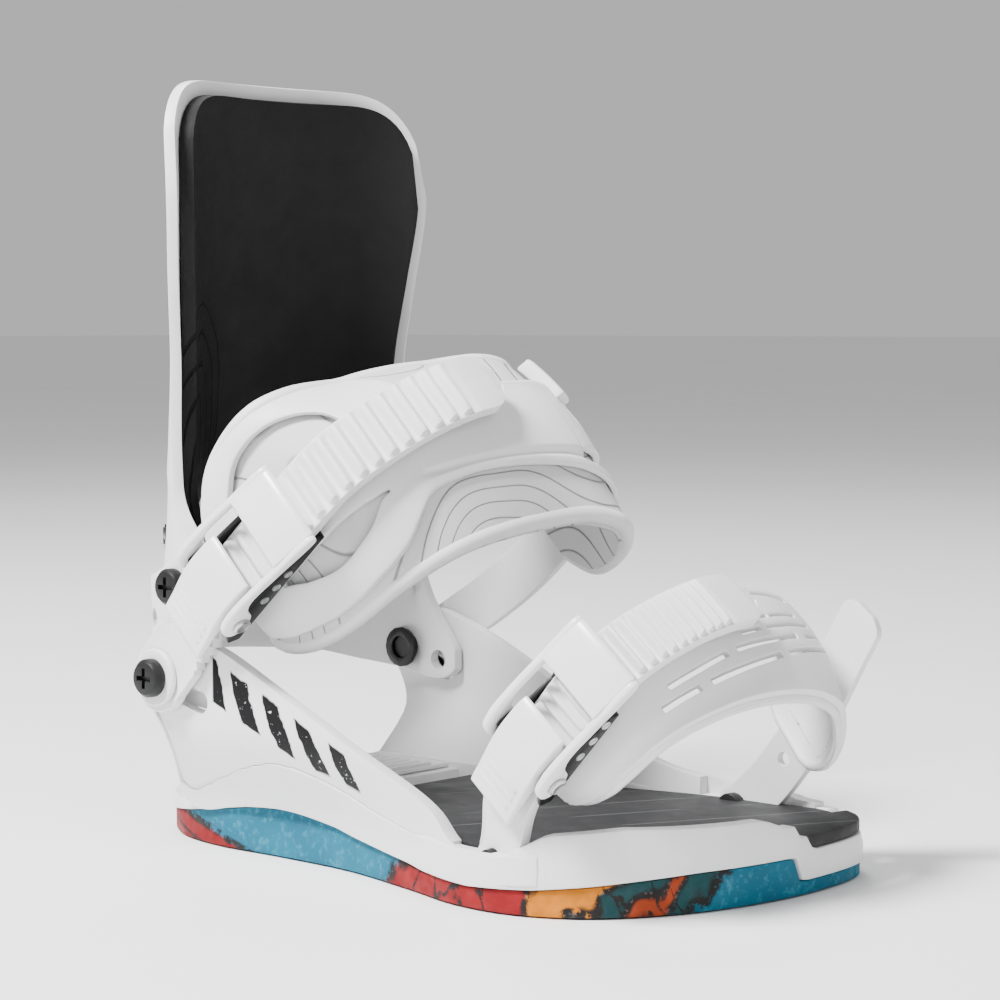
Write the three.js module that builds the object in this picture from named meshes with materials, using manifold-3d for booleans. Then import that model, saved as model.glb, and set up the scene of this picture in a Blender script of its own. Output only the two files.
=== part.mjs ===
// A snowboard binding for a right foot, with both strap loops closed.
// Millimetres. +Z is up, the toe points along -Y, the heel and highback along +Y, and the ratchet
// buckles are on the outer side of the foot, at -X.
import * as THREE from 'three';
import { mergeVertices } from 'three/addons/utils/BufferGeometryUtils.js';
import Module from 'manifold-3d';

const wasm = await Module();
wasm.setup();

// ---- driving dimensions ----------------------------------------------------------------------
const GAP = 0.3; // between pieces that touch
const FIT = 0.1; // radial clearance of a running fit
const CENTRE_X = 1.6; // these two move the whole part so that its box is centred on the origin
const CENTRE_Y = -5.2;

const WALL_X = 61; // outer face of a side wall at the ankle bolts
const WALL = 5; // thickness of a side wall
const RAIL = 6; // thickness of the toe rails
const FOAM_RIM = 4; // the bushing's rim under the rails
const FLOOR_TOP = 13; // top of the forefoot floor
const HEEL_TOP = 18; // top of the heel floor
const BUSHING_MID = 6; // foam thickness under the middle of the base

const DISC_Y = -6; // centre of the mounting disc
const DISC_R = 41;
const DISC_RIM_R = 46;
const DISC_SCREW_PITCH = 40; // square board pattern

const ANKLE_Y = 77; // ankle bolt axis
const ANKLE_Z = 56.5;
const TOE_Y = -64; // toe strap pin axis
const TOE_Z = 15;
const PIVOT_Y = 79; // highback pivot axis
const PIVOT_Z = 85;
const ANKLE_PIN_R = 3.8;
const TOE_PIN_R = 2.8;
const PIVOT_PIN_R = 3.3;

const HOOP_Y = 70; // centre of the heelcup's round end
const HOOP_R = 55.3; // its outer radius
const HOOP_WALL = 3.7;
const BACK_R = 50.9; // outer radius of the highback inside the heelcup
const BACK_WALL = 3.5;
const PAD_WALL = 4.5;

const FRAME_WALL = 2.6; // moulded outer frame of a strap
const LINER_WALL = 6; // soft liner of the ankle strap
const LADDER_WALL = 3.2;
const TOOTH = 1.1; // height of a ladder tooth
const ANKLE_LADDER_W = 22;
const TOE_LADDER_W = 19;

// ---- small helpers ---------------------------------------------------------------------------
const rad = THREE.MathUtils.degToRad;
const lerp = THREE.MathUtils.lerp;
const smooth = THREE.MathUtils.smoothstep;

// A closed three.js geometry as a manifold solid.
function solid(geometry) {
  const bare = geometry.index ? geometry.toNonIndexed() : geometry.clone();
  for (const name of Object.keys(bare.attributes)) {
    if (name !== 'position') bare.deleteAttribute(name);
  }
  const merged = mergeVertices(bare, 1e-3);
  return new wasm.Manifold(
    new wasm.Mesh({
      numProp: 3,
      vertProperties: merged.attributes.position.array,
      triVerts: new Uint32Array(merged.index.array),
    }),
  );
}

// A manifold solid as a flat-shaded three.js geometry.
function geometryOf(body) {
  const mesh = body.getMesh();
  const geometry = new THREE.BufferGeometry();
  geometry.setAttribute('position', new THREE.BufferAttribute(mesh.vertProperties, 3));
  geometry.setIndex(new THREE.BufferAttribute(mesh.triVerts, 1));
  const flat = geometry.toNonIndexed();
  flat.computeVertexNormals();
  return flat;
}

const cut = (body, ...tools) => tools.reduce((left, tool) => left.subtract(tool), body);
const join = (body, ...others) => others.reduce((left, other) => left.add(other), body);

// A thin closed body between two sides of a grid: point(u, v, side) with u, v and side in 0..1.
function slab(point, columns, rows) {
  const across = columns + 1;
  const count = across * (rows + 1);
  const positions = [];
  for (const side of [0, 1]) {
    for (let row = 0; row <= rows; row += 1) {
      for (let column = 0; column <= columns; column += 1) {
        positions.push(...point(column / columns, row / rows, side).toArray());
      }
    }
  }
  const faces = [];
  const quad = (a, b, c, d) => faces.push(a, b, c, a, c, d);
  const at = (column, row, side) => side * count + row * across + column;
  for (let row = 0; row < rows; row += 1) {
    for (let column = 0; column < columns; column += 1) {
      quad(at(column, row, 1), at(column + 1, row, 1), at(column + 1, row + 1, 1), at(column, row + 1, 1));
      quad(at(column, row, 0), at(column, row + 1, 0), at(column + 1, row + 1, 0), at(column + 1, row, 0));
    }
    quad(at(0, row, 0), at(0, row, 1), at(0, row + 1, 1), at(0, row + 1, 0));
    quad(at(columns, row, 1), at(columns, row, 0), at(columns, row + 1, 0), at(columns, row + 1, 1));
  }
  for (let column = 0; column < columns; column += 1) {
    quad(at(column, 0, 0), at(column + 1, 0, 0), at(column + 1, 0, 1), at(column, 0, 1));
    quad(at(column, rows, 1), at(column + 1, rows, 1), at(column + 1, rows, 0), at(column, rows, 0));
  }
  const geometry = new THREE.BufferGeometry();
  geometry.setAttribute('position', new THREE.Float32BufferAttribute(positions, 3));
  geometry.setIndex(faces);
  const body = solid(geometry);
  if (body.volume() > 0) return body;
  geometry.setIndex(faces.reverse());
  return solid(geometry);
}

function shapeOf(points) {
  return new THREE.Shape(points.map(([x, y]) => new THREE.Vector2(x, y)));
}

function prism(shape, low, high) {
  const geometry = new THREE.ExtrudeGeometry(shape, { depth: high - low, bevelEnabled: false });
  return solid(geometry.translate(0, 0, low));
}

// A profile drawn in (y, z), extruded along X.
function crossPrism(points, low, high) {
  const geometry = new THREE.ExtrudeGeometry(shapeOf(points), { depth: high - low, bevelEnabled: false });
  const turn = new THREE.Matrix4().makeBasis(
    new THREE.Vector3(0, 1, 0),
    new THREE.Vector3(0, 0, 1),
    new THREE.Vector3(1, 0, 0),
  );
  return solid(geometry.translate(0, 0, low).applyMatrix4(turn));
}

function box(x0, x1, y0, y1, z0, z1) {
  const geometry = new THREE.BoxGeometry(x1 - x0, y1 - y0, z1 - z0);
  return solid(geometry.translate((x0 + x1) / 2, (y0 + y1) / 2, (z0 + z1) / 2));
}

function rodX(radius, x0, x1, y, z, sides = 16) {
  const geometry = new THREE.CylinderGeometry(radius, radius, x1 - x0, sides).rotateZ(Math.PI / 2);
  return solid(geometry.translate((x0 + x1) / 2, y, z));
}

function rodY(radius, y0, y1, x, z, sides = 16) {
  const geometry = new THREE.CylinderGeometry(radius, radius, y1 - y0, sides);
  return solid(geometry.translate(x, (y0 + y1) / 2, z));
}

function rodZ(radius, z0, z1, x, y, sides = 16) {
  const geometry = new THREE.CylinderGeometry(radius, radius, z1 - z0, sides).rotateX(Math.PI / 2);
  return solid(geometry.translate(x, y, (z0 + z1) / 2));
}

// Straight-line interpolation in a list of [position, value, ...] rows; `column` picks the value.
function along(rows, position, column = 1) {
  let low = rows[0];
  for (const row of rows) {
    if (position <= row[0]) {
      if (row === low) return row[column];
      return lerp(low[column], row[column], (position - low[0]) / (row[0] - low[0]));
    }
    low = row;
  }
  return low[column];
}

const mirrorX = (body) => body.mirror([1, 0, 0]);

// ---- the scene -------------------------------------------------------------------------------
const binding = new THREE.Group();
binding.position.set(CENTRE_X, CENTRE_Y, 0);

const WHITE = { color: 0xeeeeee, roughness: 0.42, metalness: 0 };
const BLACK = { color: 0x1b1b1d, roughness: 0.45, metalness: 0 };
const FOAM = { color: 0x232326, roughness: 0.85, metalness: 0 };
const SKY = { color: 0x45b3d0, roughness: 0.7, metalness: 0 };
const STEEL = { color: 0x8a8c90, roughness: 0.35, metalness: 1 };
const BLACK_STEEL = { color: 0x202124, roughness: 0.35, metalness: 0.8 };

function add(name, body, finish) {
  const mesh = new THREE.Mesh(geometryOf(body), new THREE.MeshStandardMaterial(finish));
  mesh.name = name;
  binding.add(mesh);
}

// ---- base ------------------------------------------------------------------------------------
// Half of the plan outline on the outer side, then the longer big-toe side, heel first.
const PLAN = [
  [0, 121], [-24, 114], [-40, 95], [-46.5, 72], [-47, 40], [-49, 8], [-57, -25], [-64.5, -52],
  [-64, -74], [-54, -94], [-34, -109], [-6, -118.5], [26, -121], [54, -115.5], [66, -101],
  [67, -78], [63, -45], [55, -12], [48.5, 15], [47, 42], [46.5, 72], [40, 95], [24, 114],
];
const PLAN_SIDES = 48;

// Top of the foam bushing along the base, as seen from the side.
const BUSHING_TOP = [
  [-130, 12], [-113, 11.4], [-94, 8.9], [-80, 7.4], [-57, 6.2], [-35, 7], [-5, 10.3], [18, 13.5],
  [33, 15.4], [52, 14.6], [70, 12], [85, 9.5], [100, 7.5], [130, 6],
];

// The plan outline moved inwards by a margin.
function inset(margin) {
  const curve = new THREE.CatmullRomCurve3(PLAN.map(([x, y]) => new THREE.Vector3(x, y, 0)), true);
  const points = [];
  for (let i = 0; i < PLAN_SIDES; i += 1) {
    const t = i / PLAN_SIDES;
    const tangent = curve.getTangentAt(t);
    const point = curve.getPointAt(t);
    points.push([point.x - tangent.y * margin, point.y + tangent.x * margin]);
  }
  return shapeOf(points);
}

function underBushingTop(lift) {
  const profile = BUSHING_TOP.map(([y, z]) => [y, z + lift]);
  return crossPrism([[-140, -1], [-140, 12 + lift], ...profile, [140, 6 + lift], [140, -1]], -80, 80);
}

const toeNotch = (gap) => box(12 + gap, 90, -140, -98 - gap, 4.2 + gap, 30);

function bushing() {
  const plate = prism(inset(1.2), 0, 20).intersect(underBushingTop(0));
  const well = prism(inset(FOAM_RIM), BUSHING_MID, 30);
  return cut(plate, well, toeNotch(0), rodZ(DISC_R + 0.9, -1, 30, 0, DISC_Y, 36));
}

// Outer half-width of a side wall: narrow at the sole, wide where the heelcup is bolted.
function wallX(y, z) {
  const sole = along([[-120, 66], [-64, 65], [-40, 60.5], [-12, 54], [12, 48.6], [80, 47]], y);
  const high = along([[-120, 66], [-64, 65], [-20, 62.5], [10, WALL_X], [90, WALL_X]], y);
  return lerp(sole, high, smooth(z, 10, 44));
}

// Lower and upper edge of a side wall, from the toe to the rear of the ankle bolt boss.
function wallEdges(top) {
  const lower = [
    [-92, 10], [-40, 9], [20, 9], [60, 9], [77, 12], [84.5, 16.5], [81, 26], [79.4, 34.5], [82.6, 43], [86, 49],
  ];
  const edge = (points) => new THREE.CatmullRomCurve3(points.map(([y, z]) => new THREE.Vector3(0, y, z)));
  return [edge(lower), edge(top)];
}

function sideWall(top, sign) {
  const [lower, upper] = wallEdges(top);
  const point = (u, v, side) => {
    const p = lower.getPointAt(u).lerp(upper.getPointAt(u), v);
    p.x = sign * (wallX(p.y, p.z) - (side ? 0 : WALL));
    return p;
  };
  return slab(point, 24, 6);
}

const OUTER_TOP = [
  [-92, 20], [-70, 16.5], [-50, 17.5], [-40, 26], [-12, 38.6], [21, 52.8], [55, 67.2], [70, 70], [89, 61],
];
const INNER_TOP = [
  [-92, 18.5], [-70, 20.5], [-54, 22], [-30, 27], [0, 41], [21, 52.8], [55, 67.2], [70, 70], [89, 61],
];

function strapPocket(sign) {
  const pocket = box(51.5, WALL_X + 0.6, TOE_Y - 20, TOE_Y + 15, 8, 40);
  return sign > 0 ? pocket : mirrorX(pocket);
}

function baseplate() {
  const block = prism(inset(0), 0, 24);
  const foam = prism(inset(-3), -1, 30)
    .intersect(underBushingTop(GAP))
    .subtract(prism(inset(FOAM_RIM + GAP), BUSHING_MID + GAP, 40))
    .subtract(toeNotch(GAP));
  const forefoot = prism(inset(RAIL), FLOOR_TOP, 60).intersect(box(-90, 90, -150, 42, 0, 90));
  const heel = prism(inset(RAIL), HEEL_TOP, 60).intersect(box(-90, 90, 41, 150, 0, 90));
  const toeLip = box(-30, 90, -150, -108, FLOOR_TOP, 40);
  const railTop = crossPrism(
    [[-160, 22.5], [-100, 22.5], [-78, 20.5], [-72, 17], [-50, 17], [0, 20], [60, 20], [84, 19.5], [93, 12.8],
      [160, 12], [160, 60], [-160, 60]],
    -90,
    90,
  );
  const tray = cut(block, forefoot, heel, toeLip, railTop);
  const body = join(tray, sideWall(OUTER_TOP, -1), sideWall(INNER_TOP, 1));
  const holes = [40, -80].map((x) => rodX(ANKLE_PIN_R + GAP, x, x + 40, ANKLE_Y, ANKLE_Z));
  const spare = [-1, 1].map((sign) => rodX(3.4, sign > 0 ? 40 : -80, sign > 0 ? 80 : -40, 62, 49));
  const pins = [40, -64].map((x) => rodX(TOE_PIN_R + FIT, x, x + 24, TOE_Y, TOE_Z));
  const disc = [rodZ(DISC_R + 0.6, -1, 30, 0, DISC_Y, 36), rodZ(DISC_RIM_R + 0.6, 8.7, 30, 0, DISC_Y, 36)];
  return cut(body, foam, ...holes, ...spare, ...pins, ...disc, strapPocket(-1), strapPocket(1));
}

function footbed() {
  const outline = inset(RAIL + 1.3);
  const heelEnd = prism(outline, FLOOR_TOP + GAP, 17.4).intersect(box(-50.8, 50.8, -150, 38, 0, 40));
  const toePad = prism(outline, FLOOR_TOP + GAP, 17.4).intersect(box(-70, 70, -150, TOE_Y - 21, 0, 40));
  const lip = prism(inset(1.5), FLOOR_TOP + GAP, 17.4).intersect(box(24, 70, -150, -108.5, 0, 40));
  return join(heelEnd, toePad, lip);
}

// Ribbed heel pad on the heel floor.
function heelPad() {
  const plate = prism(inset(RAIL + 1.3), HEEL_TOP + GAP, HEEL_TOP + 3).intersect(box(-40, 40, 44, 84, 0, 40));
  const grooves = [0, 1, 2, 3, 4, 5].map((i) => box(-32, 32, 49 + 5 * i, 51.4 + 5 * i, HEEL_TOP + 1.6, 40));
  return cut(plate, ...grooves);
}

// ---- mounting disc ---------------------------------------------------------------------------
const SCREW_SPOTS = [[-1, -1], [1, -1], [1, 1], [-1, 1]].map(([i, j]) => [
  (i * DISC_SCREW_PITCH) / 2,
  DISC_Y + (j * DISC_SCREW_PITCH) / 2,
]);

function mountingDisc() {
  const rim = rodZ(DISC_RIM_R, 9, 11.6, 0, DISC_Y, 36);
  const body = rodZ(DISC_R, 1, 10, 0, DISC_Y, 36);
  const bores = SCREW_SPOTS.flatMap(([x, y]) => [rodZ(3.6, 0, 20, x, y, 12), rodZ(7.4, 6.8, 20, x, y, 20)]);
  const centre = rodZ(9, 8.4, 20, 0, DISC_Y, 20);
  return cut(join(rim, body), ...bores, centre);
}

function discScrew([x, y]) {
  const head = rodZ(6.8, 7.1, 10.8, x, y, 16);
  const shank = rodZ(3, 0.4, 8, x, y, 10);
  const slot = box(x - 4, x + 4, y - 0.8, y + 0.8, 9.2, 12);
  const cross = box(x - 0.8, x + 0.8, y - 4, y + 4, 9.2, 12);
  return cut(join(head, shank), slot, cross);
}

// ---- heelcup ---------------------------------------------------------------------------------
// Height of the heelcup band against the way along it from the tip of an arm: [way, low, high].
const HOOP_ARM = 16; // straight part of an arm
const HOOP_BAND = [
  [0, 50, 57], [3, 47.4, 61.5], [8, 46, 67.5], [14, 46.6, 76.5], [18, 47.4, 86.5], [21, 48, 92.5],
  [25, 48.8, 95.5], [29, 49.4, 94], [35, 50.2, 90.5], [44, 51.4, 88], [60, 54.6, 86], [103.5, 57, 84],
];
const HOOP_LENGTH = 2 * HOOP_ARM + Math.PI * HOOP_R;

function hoopPoint(way, height, radius) {
  const half = Math.min(way, HOOP_LENGTH - way);
  const sign = way * 2 > HOOP_LENGTH ? 1 : -1;
  if (half < HOOP_ARM) return new THREE.Vector3(sign * radius, HOOP_Y - HOOP_ARM + half, height);
  const turn = (half - HOOP_ARM) / HOOP_R;
  return new THREE.Vector3(sign * radius * Math.cos(turn), HOOP_Y + radius * Math.sin(turn), height);
}

function heelcup() {
  const point = (u, v, side) => {
    const way = u * HOOP_LENGTH;
    const half = Math.min(way, HOOP_LENGTH - way);
    const height = lerp(along(HOOP_BAND, half, 1), along(HOOP_BAND, half, 2), v);
    return hoopPoint(way, height, HOOP_R - (side ? 0 : HOOP_WALL));
  };
  const band = slab(point, 44, 2);
  const bores = [-1, 1].flatMap((sign) => {
    const x0 = sign > 0 ? 40 : -70;
    return [
      rodX(5.4, x0, x0 + 30, ANKLE_Y, ANKLE_Z),
      rodX(3.4, x0, x0 + 30, 62, 53),
      rodX(PIVOT_PIN_R + FIT, x0, x0 + 30, PIVOT_Y, PIVOT_Z),
      rodX(3.4, x0, x0 + 30, 98, 73),
    ];
  });
  return cut(band, ...bores);
}

// A bolt along X with its head outside, mirrored for the +X side.
function crossBolt(sign, y, z, headR, headX, shankX, shankR) {
  const head = rodX(headR, -headX - 4, -headX, y, z);
  const shank = rodX(shankR, -headX - 0.5, -shankX, y, z);
  const recess = [
    box(-headX - 5, -headX - 2.4, y - 3, y + 3, z - 0.7, z + 0.7),
    box(-headX - 5, -headX - 2.4, y - 0.7, y + 0.7, z - 3, z + 3),
  ];
  const bolt = cut(join(head, shank), ...recess);
  return sign < 0 ? bolt : mirrorX(bolt);
}

function ring(sign, y, z, outerR, innerR, x0, x1) {
  const body = rodX(outerR, -x1, -x0, y, z, 20).subtract(rodX(innerR, -x1 - 1, -x0 + 1, y, z, 16));
  return sign < 0 ? body : mirrorX(body);
}

function anchorNut(sign, y, z, flangeR, boreR, barrelR, x0, x1, x2) {
  const flange = rodX(flangeR, -x1, -x0, y, z);
  const barrel = rodX(barrelR, -x2, -x0, y, z);
  const nut = join(flange, barrel).subtract(rodX(boreR, -x2 - 1, -x0 + 1, y, z));
  return sign < 0 ? nut : mirrorX(nut);
}

// ---- highback --------------------------------------------------------------------------------
// [height, half-width, y of the front edges, y of the spine]
const BACK_SECTIONS = [
  [74, 50.88, 80, 120.9], [92, 50.88, 80, 120.9], [107, 54, 80, 119], [130, 54.8, 81, 115.4],
  [157, 54.8, 81, 110.4], [185, 58, 78.5, 105.4], [212, 60.6, 76, 101], [232, 59.6, 78.5, 97.6], [252, 56, 82, 94.6],
];
const BACK_TOP = 250.6;
const BACK_SPREAD = 1.48; // crowds the grid columns towards the side edges

function backPoint(across, height) {
  const half = along(BACK_SECTIONS, height, 1);
  const front = along(BACK_SECTIONS, height, 2);
  const spine = along(BACK_SECTIONS, height, 3);
  const x = half * across;
  const low = HOOP_Y + Math.sqrt(BACK_R * BACK_R - Math.min(x * x, BACK_R * BACK_R));
  const high = lerp(spine, front, Math.abs(across) ** 2.3);
  return new THREE.Vector3(x, lerp(low, high, smooth(height, 88, 116)), height);
}

// Places [across, height] on the back between two heights that depend on the place across it.
function backSheet(width, low, high) {
  return (u, v) => {
    const across = (width * Math.sin((2 * u - 1) * BACK_SPREAD)) / Math.sin(BACK_SPREAD);
    return [across, lerp(low(across), high(across), v)];
  };
}

// A sheet of the back surface thickened forwards along its normal, from `low` to `high`.
function shell(sheet, columns, rows, low, high) {
  const offset = (u, v, side) => {
    const [across, height] = sheet(u, v);
    const left = Math.max(-1, across - 0.004);
    const right = Math.min(1, across + 0.004);
    const along = backPoint(right, height).sub(backPoint(left, height));
    const up = backPoint(across, height + 0.2).sub(backPoint(across, height - 0.2));
    const normal = along.cross(up).normalize();
    return backPoint(across, height).addScaledVector(normal, side ? high : low);
  };
  return slab(offset, columns, rows);
}

const backTop = (across) => BACK_TOP - 36 * (1 - Math.cbrt(1 - Math.min(1, Math.abs(across)) ** 7));
const backLow = (across) => lerp(82, 75.5, smooth(Math.abs(across), 0.55, 0.9));

function highbackShell() {
  const sheet = backSheet(1, backLow, backTop);
  const body = shell(sheet, 20, 13, 0, BACK_WALL);
  const bores = [40, -60].map((x) => rodX(PIVOT_PIN_R + FIT, x, x + 20, PIVOT_Y, PIVOT_Z));
  const slot = join(box(-2.7, 2.7, 105, 130, 90, 110), rodY(2.7, 105, 130, 0, 110, 12));
  return cut(body, ...bores, slot);
}

function highbackPad() {
  const low = (across) => lerp(121, 101, smooth(Math.abs(across), 0.2, 0.85));
  const high = (across) => backTop(across / 0.94) - 4.5;
  const sheet = backSheet(0.94, low, high);
  return shell(sheet, 18, 9, BACK_WALL + 3 * GAP, BACK_WALL + 2 * GAP + PAD_WALL);
}

// Forward-lean adjuster on the spine, resting on the top of the heelcup.
function leanBlock() {
  const block = box(-17, 17, 121.6, 127.4, 85.4, 101);
  const ears = join(box(-13, -10.6, 126, 132.8, 93.5, 99.5), box(10.6, 13, 126, 132.8, 93.5, 99.5));
  const bores = [rodX(1.7, -20, 20, 130.3, 96.5, 12), rodY(2.3, 110, 140, 0, 92, 12)];
  return cut(join(block, ears), ...bores);
}

function leanLever() {
  const plate = box(-10.2, 10.2, 127.9, 130.6, 86, 97.5);
  const knuckle = rodX(2.4, -10.2, 10.2, 130.3, 96.5, 14);
  const grip = box(-10.2, 10.2, 129, 131.6, 84.9, 88);
  return join(plate, knuckle, grip).subtract(rodX(1.7, -20, 20, 130.3, 96.5, 12));
}

function leanPin() {
  return rodX(1.6, -13.6, 13.6, 130.3, 96.5, 12);
}

function leanBolt() {
  const shank = rodY(2, 114.8, 126.6, 0, 92, 12);
  const plate = box(-4.5, 4.5, 112.8, 115.3, 87.5, 96.5);
  return join(shank, plate);
}

// ---- straps ----------------------------------------------------------------------------------
// A strap works in its own slanted plane: x across the foot, w away from its pivot axis along the
// strap's rise, n across the strap's width, forwards and down.
class StrapFrame {
  constructor(y, z, rise) {
    this.y = y;
    this.z = z;
    this.cos = Math.cos(rad(rise));
    this.sin = Math.sin(rad(rise));
  }

  at(x, w, n) {
    return new THREE.Vector3(x, this.y - w * this.cos - n * this.sin, this.z + w * this.sin - n * this.cos);
  }

  // The matrix of a local frame (u up the strap, v to the rear, t outwards) at a place on the strap.
  local(x, w, n, tilt) {
    const s = Math.sin(rad(tilt));
    const c = Math.cos(rad(tilt));
    const origin = this.at(x, w, n);
    const up = this.at(x + s, w + c, n).sub(origin);
    const rear = this.at(x, w, n - 1).sub(origin);
    const out = this.at(x - c, w + s, n).sub(origin);
    return new THREE.Matrix4().makeBasis(up, rear, out).setPosition(origin);
  }
}

const ankle = new StrapFrame(ANKLE_Y, ANKLE_Z, 45);
const toe = new StrapFrame(TOE_Y, TOE_Z, 50);

function arch(points) {
  return new THREE.CatmullRomCurve3(points.map(([x, w, n = 0]) => new THREE.Vector3(x, w, n)));
}

// A point over an arch at a share of its length: n across it, h outwards from it.
function archPoint(frame, curve, share, n, h) {
  const p = curve.getPointAt(share);
  const tangent = curve.getTangentAt(share);
  const length = Math.hypot(tangent.x, tangent.y);
  return frame.at(p.x - (tangent.y / length) * h, p.y + (tangent.x / length) * h, p.z + n);
}

// One layer of a strap. `edges` rows are [share, rear n, front n]; `dip` lowers the surface at n.
function layer(frame, curve, edges, dip, low, high, columns, rows, from = 0, to = 1) {
  const point = (u, v, side) => {
    const share = lerp(from, to, u);
    const n = lerp(along(edges, share, 1), along(edges, share, 2), v);
    return archPoint(frame, curve, share, n, (side ? high : low) - dip(share, n));
  };
  return slab(point, columns, rows);
}

const ANKLE_ARCH = arch([
  [-50.5, 31], [-53, 46], [-53.2, 60], [-52, 72], [-49, 84], [-42, 96], [-31, 106.5], [-16, 114.5], [2, 119.5],
  [20, 121.5], [35, 120.6], [46.5, 116], [53.3, 107], [55.8, 95], [56, 80],
]);
const ANKLE_EDGES = [
  [0, -10, 15], [0.012, -20, 20], [0.04, -34, 25], [0.09, -41, 29], [0.16, -43, 32], [0.3, -43, 34], [0.5, -41, 34],
  [0.7, -38, 35], [0.84, -31, 41], [0.92, -22, 43], [0.97, -14, 40], [1, -2, 28],
];

function ankleDip(share, n) {
  const rear = lerp(lerp(3, 14, smooth(share, 0.15, 0.45)), 5, smooth(share, 0.62, 0.85));
  const front = lerp(13, 0, smooth(share, 0.6, 0.9));
  return (n < 0 ? rear : front) * (n / 38) ** 2;
}

const ankleEdgesIn = (rim) => ANKLE_EDGES.map(([share, rear, front]) => [share, rear + rim, front - rim]);

function anklePad() {
  return layer(ankle, ANKLE_ARCH, ANKLE_EDGES, ankleDip, -FRAME_WALL - 0.8 - LINER_WALL, -FRAME_WALL - 0.8, 25, 5);
}

// A window through the strap's frame.
function ankleWindow(from, to, rear, front) {
  const edges = [[0, rear, front], [1, rear, front]];
  return layer(ankle, ANKLE_ARCH, edges, ankleDip, -FRAME_WALL - 3, 4, 6, 2, from, to);
}

function ankleFrame() {
  const body = layer(ankle, ANKLE_ARCH, ankleEdgesIn(2.5), ankleDip, -FRAME_WALL, 0, 23, 5, 0.04, 0.96);
  return cut(
    body,
    ankleWindow(0.12, 0.34, -30, -13),
    ankleWindow(0.12, 0.33, 14, 23),
    ankleWindow(0.46, 0.84, -60, -15),
    ankleWindow(0.42, 0.84, 11, 60),
  );
}

// A ladder strap: a band with a saw profile over its middle stretch and an eye at its lower end.
function ladder(frame, points, width, teethFrom, teethTo, teeth, eyeR, eyeX) {
  const curve = arch(points);
  const stops = [[0, 0], [teethFrom * 0.33, 0], [teethFrom * 0.66, 0], [teethFrom, 0]];
  const pitch = (teethTo - teethFrom) / teeth;
  for (let i = 0; i < teeth; i += 1) {
    stops.push([teethFrom + (i + 0.2) * pitch, TOOTH], [teethFrom + (i + 1) * pitch, 0]);
  }
  stops.push([lerp(teethTo, 1, 0.5), 0], [1, 0]);
  const half = (share) => {
    const tongue = 1 - 0.75 * smooth(share, 0.9, 1) ** 2;
    return lerp(eyeR * 0.9, (width / 2) * tongue, smooth(share, 0, 0.12));
  };
  const columns = stops.length - 1;
  const point = (u, v, side) => {
    const [share, tooth] = stops[Math.round(u * columns)];
    const n = lerp(-half(share), half(share), v);
    return archPoint(frame, curve, share, n, side ? LADDER_WALL / 2 + tooth : -LADDER_WALL / 2);
  };
  const eye = rodX(eyeR, eyeX - LADDER_WALL / 2, eyeX + LADDER_WALL / 2, frame.y, frame.z, 24);
  return join(slab(point, columns, 1), eye);
}

const ANKLE_LADDER = [
  [-63.2, 0, 0], [-63.2, 14, 0], [-63, 27, 0], [-61.5, 42, 0], [-60, 57, 0], [-58.8, 69, 0], [-57.4, 83, 0],
  [-51.4, 96, -2], [-40, 107.6, -4], [-25, 117.6, -6], [-8, 123.6, -8], [7, 125.6, -9],
];

function ankleLadder() {
  const body = ladder(ankle, ANKLE_LADDER, ANKLE_LADDER_W, 0.17, 0.88, 24, 11.4, -63.2);
  return body.subtract(rodX(ANKLE_PIN_R + FIT, -80, -50, ANKLE_Y, ANKLE_Z));
}

const TOE_LADDER = [
  [-58.8, 0, 0], [-59, 9, -3], [-60.2, 20, -7], [-60.7, 27, -8], [-59.7, 37, -8], [-58.7, 47, -8], [-57.1, 63, -8],
  [-50, 74, -8.5], [-36, 81.5, -10], [-17, 85.5, -12], [2, 86, -13],
];

function toeLadder() {
  const body = ladder(toe, TOE_LADDER, TOE_LADDER_W, 0.2, 0.86, 18, 6.4, -58.8);
  return body.subtract(rodX(TOE_PIN_R + FIT, -70, -50, TOE_Y, TOE_Z));
}

// An extender strap on the inner side of the foot.
function extender(frame, points, width, wall, eyeR, holes) {
  const curve = arch(points);
  const half = (share) => lerp(eyeR * 0.9, (width / 2) * (1 - 0.35 * smooth(share, 0.93, 1) ** 2), smooth(share, 0, 0.15));
  const point = (u, v, side) => archPoint(frame, curve, u, lerp(-half(u), half(u), v), side ? wall / 2 : -wall / 2);
  const [x] = points[0];
  const eye = rodX(eyeR, x - wall / 2, x + wall / 2, frame.y, frame.z, 24);
  const body = join(slab(point, 14, 1), eye);
  const bores = holes.map(([w, n, radius]) => {
    const centre = frame.at(x, w, n);
    return rodX(radius, x - 20, x + 20, centre.y, centre.z);
  });
  return cut(body, ...bores);
}

const ANKLE_EXTENDER = [
  [63.2, 0, 0], [63.2, 14, 3], [63.2, 34, 8], [62.2, 54, 12], [60.6, 72, 14], [59.4, 94, 15],
];
const TOE_EXTENDER = [
  [58.6, 0, 0], [58.2, 12, 3.5], [57, 28, 4.5], [56.2, 44, 3.5], [56.6, 58, 0.5], [57.4, 71, -2.5], [58.4, 83, -5],
];
const ANKLE_SCREW = [86, 14]; // w and n of the screw that holds the ankle extender to the strap
const TOE_SCREW = [48, 3];

function strapScrew(frame, [w, n], headX, tipX) {
  const centre = frame.at(0, w, n);
  const head = rodX(5, headX, headX + 2.4, centre.y, centre.z);
  const shank = rodX(2.2, tipX, headX + 1, centre.y, centre.z, 10);
  const slot = box(headX + 1.2, headX + 4, centre.y - 3.4, centre.y + 3.4, centre.z - 0.6, centre.z + 0.6);
  return join(head, shank).subtract(slot);
}

function screwHole(frame, [w, n], radius) {
  const centre = frame.at(0, w, n);
  return rodX(radius, 30, 80, centre.y, centre.z, 12);
}

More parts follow.
